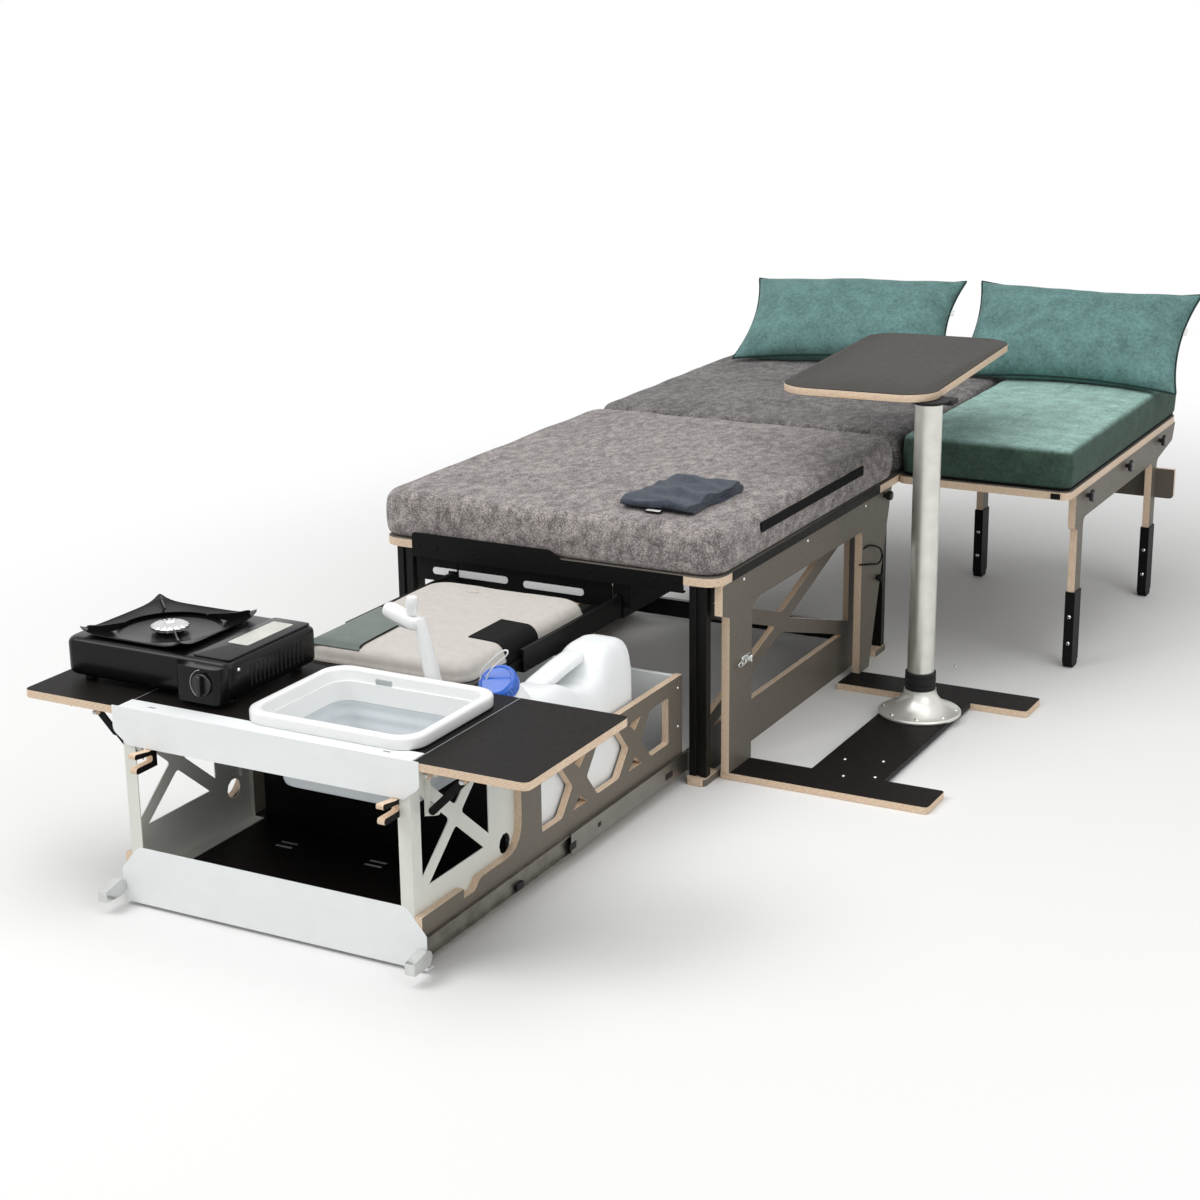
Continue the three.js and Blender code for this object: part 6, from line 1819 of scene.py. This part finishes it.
# Place along the canister, height of its top and of its underside, half its width
CANISTER_SECTIONS = (
    (0, 308, 70, 40), (2, 320, 62, 48), (8, 332, 54, 54), (20, 341, 49, 58.5), (40, 346, 46.6, 60.5),
    (70, 348, 46.3, 61), (110, 347, 46.3, 61), (150, 343, 46.3, 61), (182, 334, 46.3, 61),
    (214, 318, 46.3, 61), (256, 310, 46.3, 61), (282, 316, 46.3, 61), (298, 332, 46.3, 61),
    (308, 350, 46.3, 61), (322, 363, 46.3, 61), (344, 368, 46.3, 61), (390, 368, 46.6, 60.5),
    (412, 364, 49, 58.5), (422, 356, 54, 54), (428, 344, 62, 48), (430, 330, 74, 38))


@dataclass
class WaterCanister:
    """A lying water canister with a raised rear, a bridging handle and a tilted screw cap."""

    x: float = 241.0
    half: float = 61.0
    front: float = -605.0
    rear: float = -175.0
    low: float = 46.3
    neck: tuple = (241.0, -581.4, 355.5)
    tilt: float = 38.0
    length: float = 430.0
    squareness: float = 4.6
    ribs: int = 30
    rib_depth: float = 0.02

    def build(self, bench: Bench) -> None:
        """Makes the blown body with its handle, the neck, the ribbed cap and its wire loop."""
        bench.piece("canister_body", joined([self.body(), self.handle(), self.spout()]), "canister",
                    MILKY, 60, stands_for=["canister"])
        bench.piece("canister_screw_cap", self.cap(), "canister_cap", CAP_BLUE, 50,
                    stands_for=["canister_cap"])
        bench.piece("cap_wire_loop", self.wire(), "canister_cap", WHITE_GLOSS)

    def body(self) -> Surface:
        """Cross-sections along y: squared ovals whose top follows the canister's back.

        The top runs 348 at the nose, dips to 310 below the handle and climbs to 368 at the rear.

        Returns:
            The closed body.
        """
        y, top, low, half = np.array(CANISTER_SECTIONS, float).T
        fine = np.linspace(0, self.length, 108)
        top, low, half = (np.interp(fine, y, values) for values in (top, low, half))
        section = oval(2.0, 2.0, 72, self.squareness)
        points = np.empty((len(fine), len(section), 3))
        points[..., 0] = self.x + half[:, None] * section[None, :, 0]
        points[..., 1] = self.front + fine[:, None]
        points[..., 2] = (top + low)[:, None] / 2 + (top - low)[:, None] / 2 * section[None, :, 1]
        return skin(points, around=True, ends=True)

    def handle(self) -> Surface:
        """The bridge from the nose up to the raised rear."""
        path = through([(self.x - 8, self.front + 120, 318), (self.x - 10, self.front + 150, 334),
                        (self.x - 12, self.front + 205, 341), (self.x - 14, self.front + 262, 346),
                        (self.x - 16, self.front + 312, 346), (self.x - 16, self.front + 345, 336)], 34)
        return carried(path, oval(24, 50, 28, 3.0), (1, 0, 0))

    def axis(self) -> np.ndarray:
        """Direction of the neck."""
        lean = math.radians(self.tilt)
        return np.array([0, -math.sin(lean), math.cos(lean)])

    def spout(self) -> Surface:
        """The threaded neck with its collar."""
        return lathe([(0, -34), (38, -34), (37, -12), (34, 2), (31, 6), (31, 20), (35, 21), (35, 25),
                      (31, 26), (31, 30), (0, 30)], self.neck, self.axis(), 48)

    def cap(self) -> Surface:
        """A ribbed cap: radius = r (1 + 0.02 s) round its side, with s the sign of cos 30 t."""
        plain = circle(1.0, 180)
        ribs = plain * (1 + self.rib_depth * np.sign(np.cos(self.ribs * full_turn(180))))[:, None]
        rows = ((plain, 26, 30.4), (plain, 37.5, 30.4), (plain, 38, 33), (ribs, 37.5, 34.5),
                (ribs, 37.5, 48), (plain, 37, 50.5), (plain, 34, 54), (plain, 29, 55.8),
                (plain, 28, 54.4), (plain, 0.2, 54.4))
        cap = stacked([ring * radius for ring, radius, _ in rows], [rise for _, _, rise in rows])
        return cap.turned(Axis.X, self.tilt).moved(*self.neck)

    def wire(self) -> Surface:
        """A narrow white wire loop that stands up from the cap's left and leans right."""
        knots = [(-33, -36, 34), (-28, -36, 58), (4, -32, 92), (20, -30, 102), (21, -30, 93),
                 (-10, -33, 62), (-22, -34, 38)]
        return carried(through(knots, 70), circle(1.6, 8), (0, 1, 0)).moved(*self.neck)


@dataclass
class UpperPullOut:
    """The upper tray on its carriage, with the flat canvas bag, its broad strap and its window."""

    low: tuple = (-216.0, -581.0, 343.4)
    high: tuple = (151.0, -94.0, 402.5)
    rim: float = 26.0
    crown: float = 3.0
    fill: float = 0.7
    strap_sides: tuple = (-432.0, -306.0)
    strap_start: float = 70.0
    strap_foot: float = 352.0
    window_corner: tuple = (-208.0, -574.0)
    window_width: float = 119.0
    window_back: float = -320.0
    window_slant: float = 98.0

    def build(self, bench: Bench) -> None:
        """Dresses the carriage and tray and makes the bag."""
        bench.dress(BLACK_COAT, "upper_carriage", "upper_tray", bevel=0.4)
        bag = bench.piece("storage_bag", self.bag(), "upper_tray", CANVAS, 60, finer=1,
                          stands_for=["canvas_bag"])
        bench.piece("bag_strap", self.strap(), "upper_tray", WEBBING)
        bench.piece("bag_window", self.window(), "upper_tray", FLAP)
        bench.piece("bag_window_binding", self.binding(), "upper_tray", WEBBING)
        bench.piece("bag_seam", self.seam(), "upper_tray", WEBBING)
        mark = soft_block((-95, -172, 404.6), (-70, -160, 406.6), 2, 0.5)
        bench.piece("bag_stitch", mark, "upper_tray", CANVAS)

    def bag(self) -> Surface:
        """A stuffed flat bag with round rims and slight dents on its top."""
        return Pad(self.low, self.high, 40, self.rim, self.crown, 3, 0.7, 71, 24).surface()

    def top_at(self, x: np.ndarray, y: np.ndarray) -> np.ndarray:
        """Height of the bag's top less its dents: a slight crown with quarter-round rims."""
        (x0, y0, _), (x1, y1, z1) = self.low, self.high
        inset = np.minimum(np.minimum(x - x0, x1 - x), np.minimum(y - y0, y1 - y))
        away = np.clip(1 - inset / self.rim, 0, 1)
        crown = self.crown * (1 - (1 - np.clip((inset - self.rim) / 158.0, 0, 1)) ** 2)
        return z1 + 1.3 - self.rim * (1 - np.sqrt(1 - away**2)) + crown

    def strap(self) -> Surface:
        """A broad black strap over the right of the bag and down its side, along its own section."""
        x1, z1 = self.high[0], self.high[2]
        turn = np.linspace(math.pi / 2, 0, 9)
        over = [(x, float(self.top_at(np.array(x), np.array(-370.0))))
                for x in np.linspace(self.strap_start, x1 - self.rim, 12)]
        bend = [(x1 - self.rim + (self.rim + 1.6) * math.cos(t),
                 z1 - self.rim + (self.rim + 1.6) * math.sin(t))
                for t in turn[1:]]
        down = [(x1 + 4.4, z) for z in np.linspace(z1 - self.rim - 8, self.strap_foot, 5)]
        line = np.array(over + bend + down)
        ahead = unit(np.gradient(line, axis=0))
        out = np.stack([-ahead[:, 1], ahead[:, 0]], axis=1)
        loop = np.concatenate([line + out * 0.9, (line - out * 1.4)[::-1]])
        rows = [np.column_stack([loop[:, 0], np.full(len(loop), y), loop[:, 1]])
                for y in np.linspace(*self.strap_sides, 8)]
        return skin(np.stack(rows), around=True, ends=True)

    def window_plan(self, u: np.ndarray, v: np.ndarray) -> tuple:
        """The window's four-cornered plan: u across from the left, v back from the front."""
        left, front = self.window_corner
        back = self.window_back - self.window_slant * u
        return left + u * self.window_width + 0.0 * v, front + v * (back - front)

    def window(self) -> Surface:
        """A smooth window over the left front of the bag's top."""
        u, v = np.meshgrid(np.linspace(0, 1, 30), np.linspace(0, 1, 44), indexing="ij")
        x, y = self.window_plan(u, v)
        top = np.stack([x, y, self.top_at(x, y) + 0.5], axis=-1)
        loop = np.concatenate([top, (top - np.array([0, 0, 2.4]))[:, ::-1]], axis=1)
        return skin(loop, around=True, ends=True)

    def binding(self) -> Surface:
        """Dark tape along the window's right and rear edges."""
        u = np.concatenate([np.full(30, 1.0), np.linspace(1, 0.03, 16)[1:]])
        v = np.concatenate([np.linspace(0.03, 1, 30), np.full(15, 1.0)])
        x, y = self.window_plan(u, v)
        return carried(np.column_stack([x, y, self.top_at(x, y) + 0.5]), oval(4.5, 2.2, 8, 3))

    def seam(self) -> Surface:
        """The zip line round the bag's side."""
        (x0, y0, _), (x1, y1, z1) = self.low, self.high
        ring = rounded_ring(x0 - 3.0, x1 + 3.0, y0 - 3.0, y1 + 3.0, 42, 30, 8)
        return carried(np.column_stack([ring, np.full(len(ring), z1 - 38)]), oval(3, 2.0, 8, 3),
                       closed=True)


@dataclass
class Studio:
    """The plain room: a pale floor with a soft shadow, three lamps and the camera of the photograph."""

    camera_place: tuple = (2247.02, -3935.49, 1711.0)
    yaw: float = 28.3075
    pitch: float = -16.6946
    roll: float = -0.6776
    lens: float = 67.03
    floor_size: float = 14.0
    middle: tuple = (180.0, 450.0, 300.0)
    sensor: float = 36.0
    far_clip: float = 60.0
    ambient: float = 0.42

    def build(self, bench: Bench) -> None:
        """Places floor, lamps, world and camera."""
        self.floor(bench)
        self.world()
        centre = bench.metres(self.middle)
        self.lamp("key_lamp", centre, (-2.6, -3.2, 4.2), 3.2, 150.0)
        self.lamp("fill_lamp", centre, (4.2, -2.4, 2.8), 3.6, 70.0)
        self.lamp("top_lamp", centre, (0.3, -0.2, 4.6), 4.4, 95.0)
        self.camera(bench)

    def floor(self, bench: Bench) -> None:
        """A pale floor that keeps the shadow and turns into the white background further away."""
        low = bench.metres([*self.middle[:2], 0])
        half = self.floor_size / 2
        grid = np.array([(x, y) for x in (-half, half) for y in (-half, half)])
        points = np.column_stack([grid + low[:2], np.full(4, -0.0004)])
        mesh = bpy.data.meshes.new("floor")
        mesh.from_pydata(points.tolist(), [], [(0, 2, 3, 1)])
        floor = bpy.data.objects.new("floor", mesh)
        bpy.context.scene.collection.objects.link(floor)
        floor.data.materials.append(self.floor_material(low))

    def floor_material(self, centre: np.ndarray) -> bpy.types.Material:
        """Matte pale grey near the object, turning by distance into what the camera sees as white."""
        graph = Graph("studio floor")
        graph.look(Base_Color=tone(238, 238, 237), Roughness=0.7, Specular_IOR_Level=0.2)
        squares = [graph.math("POWER", graph.math("ABSOLUTE", graph.math("MULTIPLY", graph.math(
            "SUBTRACT", graph.part(axis), float(centre[axis.value])), 1 / reach)), 2.0)
            for axis, reach in ((Axis.X, 1.15), (Axis.Y, 1.95))]
        away = graph.tree.nodes.new("ShaderNodeMapRange")
        away.interpolation_type = "SMOOTHSTEP"
        away.inputs["From Min"].default_value = 0.95
        away.inputs["From Max"].default_value = 2.1
        graph.fill(away, "Value", graph.math("SQRT", graph.math("ADD", *squares)))
        rays = graph.tree.nodes.new("ShaderNodeLightPath")
        seen = graph.math("MAXIMUM", rays.outputs["Is Camera Ray"], rays.outputs["Is Glossy Ray"])
        white = graph.tree.nodes.new("ShaderNodeEmission")
        mix = graph.tree.nodes.new("ShaderNodeMixShader")
        graph.fill(mix, 0, graph.math("MULTIPLY", away.outputs[0], seen))
        graph.fill(mix, 1, graph.shader.outputs[0])
        graph.fill(mix, 2, white.outputs[0])
        graph.fill(graph.tree.nodes["Material Output"], "Surface", mix.outputs[0])
        return graph.material

    def world(self) -> None:
        """A soft even light, seen as white by the camera, by metal and through glass."""
        world = bpy.data.worlds.new("studio")
        bpy.context.scene.world = world
        world.use_nodes = True
        tree = world.node_tree
        tree.nodes.clear()
        rays = tree.nodes.new("ShaderNodeLightPath")
        soft, white = tree.nodes.new("ShaderNodeBackground"), tree.nodes.new("ShaderNodeBackground")
        soft.inputs["Color"].default_value = tone(250, 250, 250)
        soft.inputs["Strength"].default_value = self.ambient
        white.inputs["Color"].default_value = (1, 1, 1, 1)
        white.inputs["Strength"].default_value = 1.0
        seen = rays.outputs["Is Camera Ray"]
        for kind in ("Is Glossy Ray", "Is Transmission Ray"):
            either = tree.nodes.new("ShaderNodeMath")
            either.operation = "MAXIMUM"
            tree.links.new(seen, either.inputs[0])
            tree.links.new(rays.outputs[kind], either.inputs[1])
            seen = either.outputs[0]
        mix, out = tree.nodes.new("ShaderNodeMixShader"), tree.nodes.new("ShaderNodeOutputWorld")
        tree.links.new(seen, mix.inputs[0])
        tree.links.new(soft.outputs[0], mix.inputs[1])
        tree.links.new(white.outputs[0], mix.inputs[2])
        tree.links.new(mix.outputs[0], out.inputs["Surface"])

    def lamp(self, name: str, centre: np.ndarray, offset: Point, size: float, power: float) -> None:
        """A square lamp that faces the middle of the object.

        Args:
            name: Name of the lamp.
            centre: Point that it faces.
            offset: Its place from there, in metres.
            size: Length of its side.
            power: Watts.
        """
        light = bpy.data.lights.new(name, "AREA")
        light.size = size
        light.energy = power
        lamp = bpy.data.objects.new(name, light)
        lamp.location = centre + np.array(offset)
        away = Matrix.Identity(3)
        back = unit(np.array(offset, float))
        side = unit(np.cross([0.0, 0.0, 1.0], back))
        away.col[0], away.col[1], away.col[2] = side, np.cross(back, side), back
        lamp.rotation_euler = away.to_euler()
        bpy.context.scene.collection.objects.link(lamp)

    def camera(self, bench: Bench) -> None:
        """The photograph's view: yaw about z, pitch, then roll about the line of sight."""
        yaw, pitch, roll = (math.radians(angle) for angle in (self.yaw, self.pitch, self.roll))
        level_run = math.cos(pitch)
        ahead = np.array([-math.sin(yaw) * level_run, math.cos(yaw) * level_run, math.sin(pitch)])
        level = np.array([math.cos(yaw), math.sin(yaw), 0.0])
        upright = np.cross(level, ahead)
        right = level * math.cos(roll) + upright * math.sin(roll)
        top = upright * math.cos(roll) - level * math.sin(roll)
        turn = Matrix((right, top, -ahead)).transposed()
        data = bpy.data.cameras.new("camera")
        data.sensor_width = self.sensor
        data.lens = self.lens
        data.clip_end = self.far_clip
        camera = bpy.data.objects.new("camera", data)
        camera.matrix_world = Matrix.Translation(bench.metres(self.camera_place)) @ turn.to_4x4()
        bpy.context.scene.collection.objects.link(camera)
        bpy.context.scene.camera = camera


def main() -> None:
    """Builds the box, the beds, the table and the kitchen in order, then the studio."""
    logging.basicConfig(level=logging.INFO, format="%(message)s")
    bench = Bench()
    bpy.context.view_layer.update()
    BedBox().build(bench)
    Mattresses().build(bench)
    Pillow(-70.0, 6.0, 2.6, height=335.0, lean=57.0).build(bench, "left_pillow", "pillow_left")
    Pillow(582.0, 0.6, seed=9).build(bench, "right_pillow", "pillow_right")
    Towel().build(bench)
    SideBed().build(bench)
    SwivelTable().build(bench)
    KitchenDrawer().build(bench)
    FoldingBasin().build(bench)
    Tap().build(bench)
    Stove().build(bench)
    WaterCanister().build(bench)
    UpperPullOut().build(bench)
    Studio().build(bench)
    bpy.context.scene.view_settings.view_transform = "Standard"
    LOG.info("%d pieces made", bench.count)


if __name__ == "__main__":
    main()
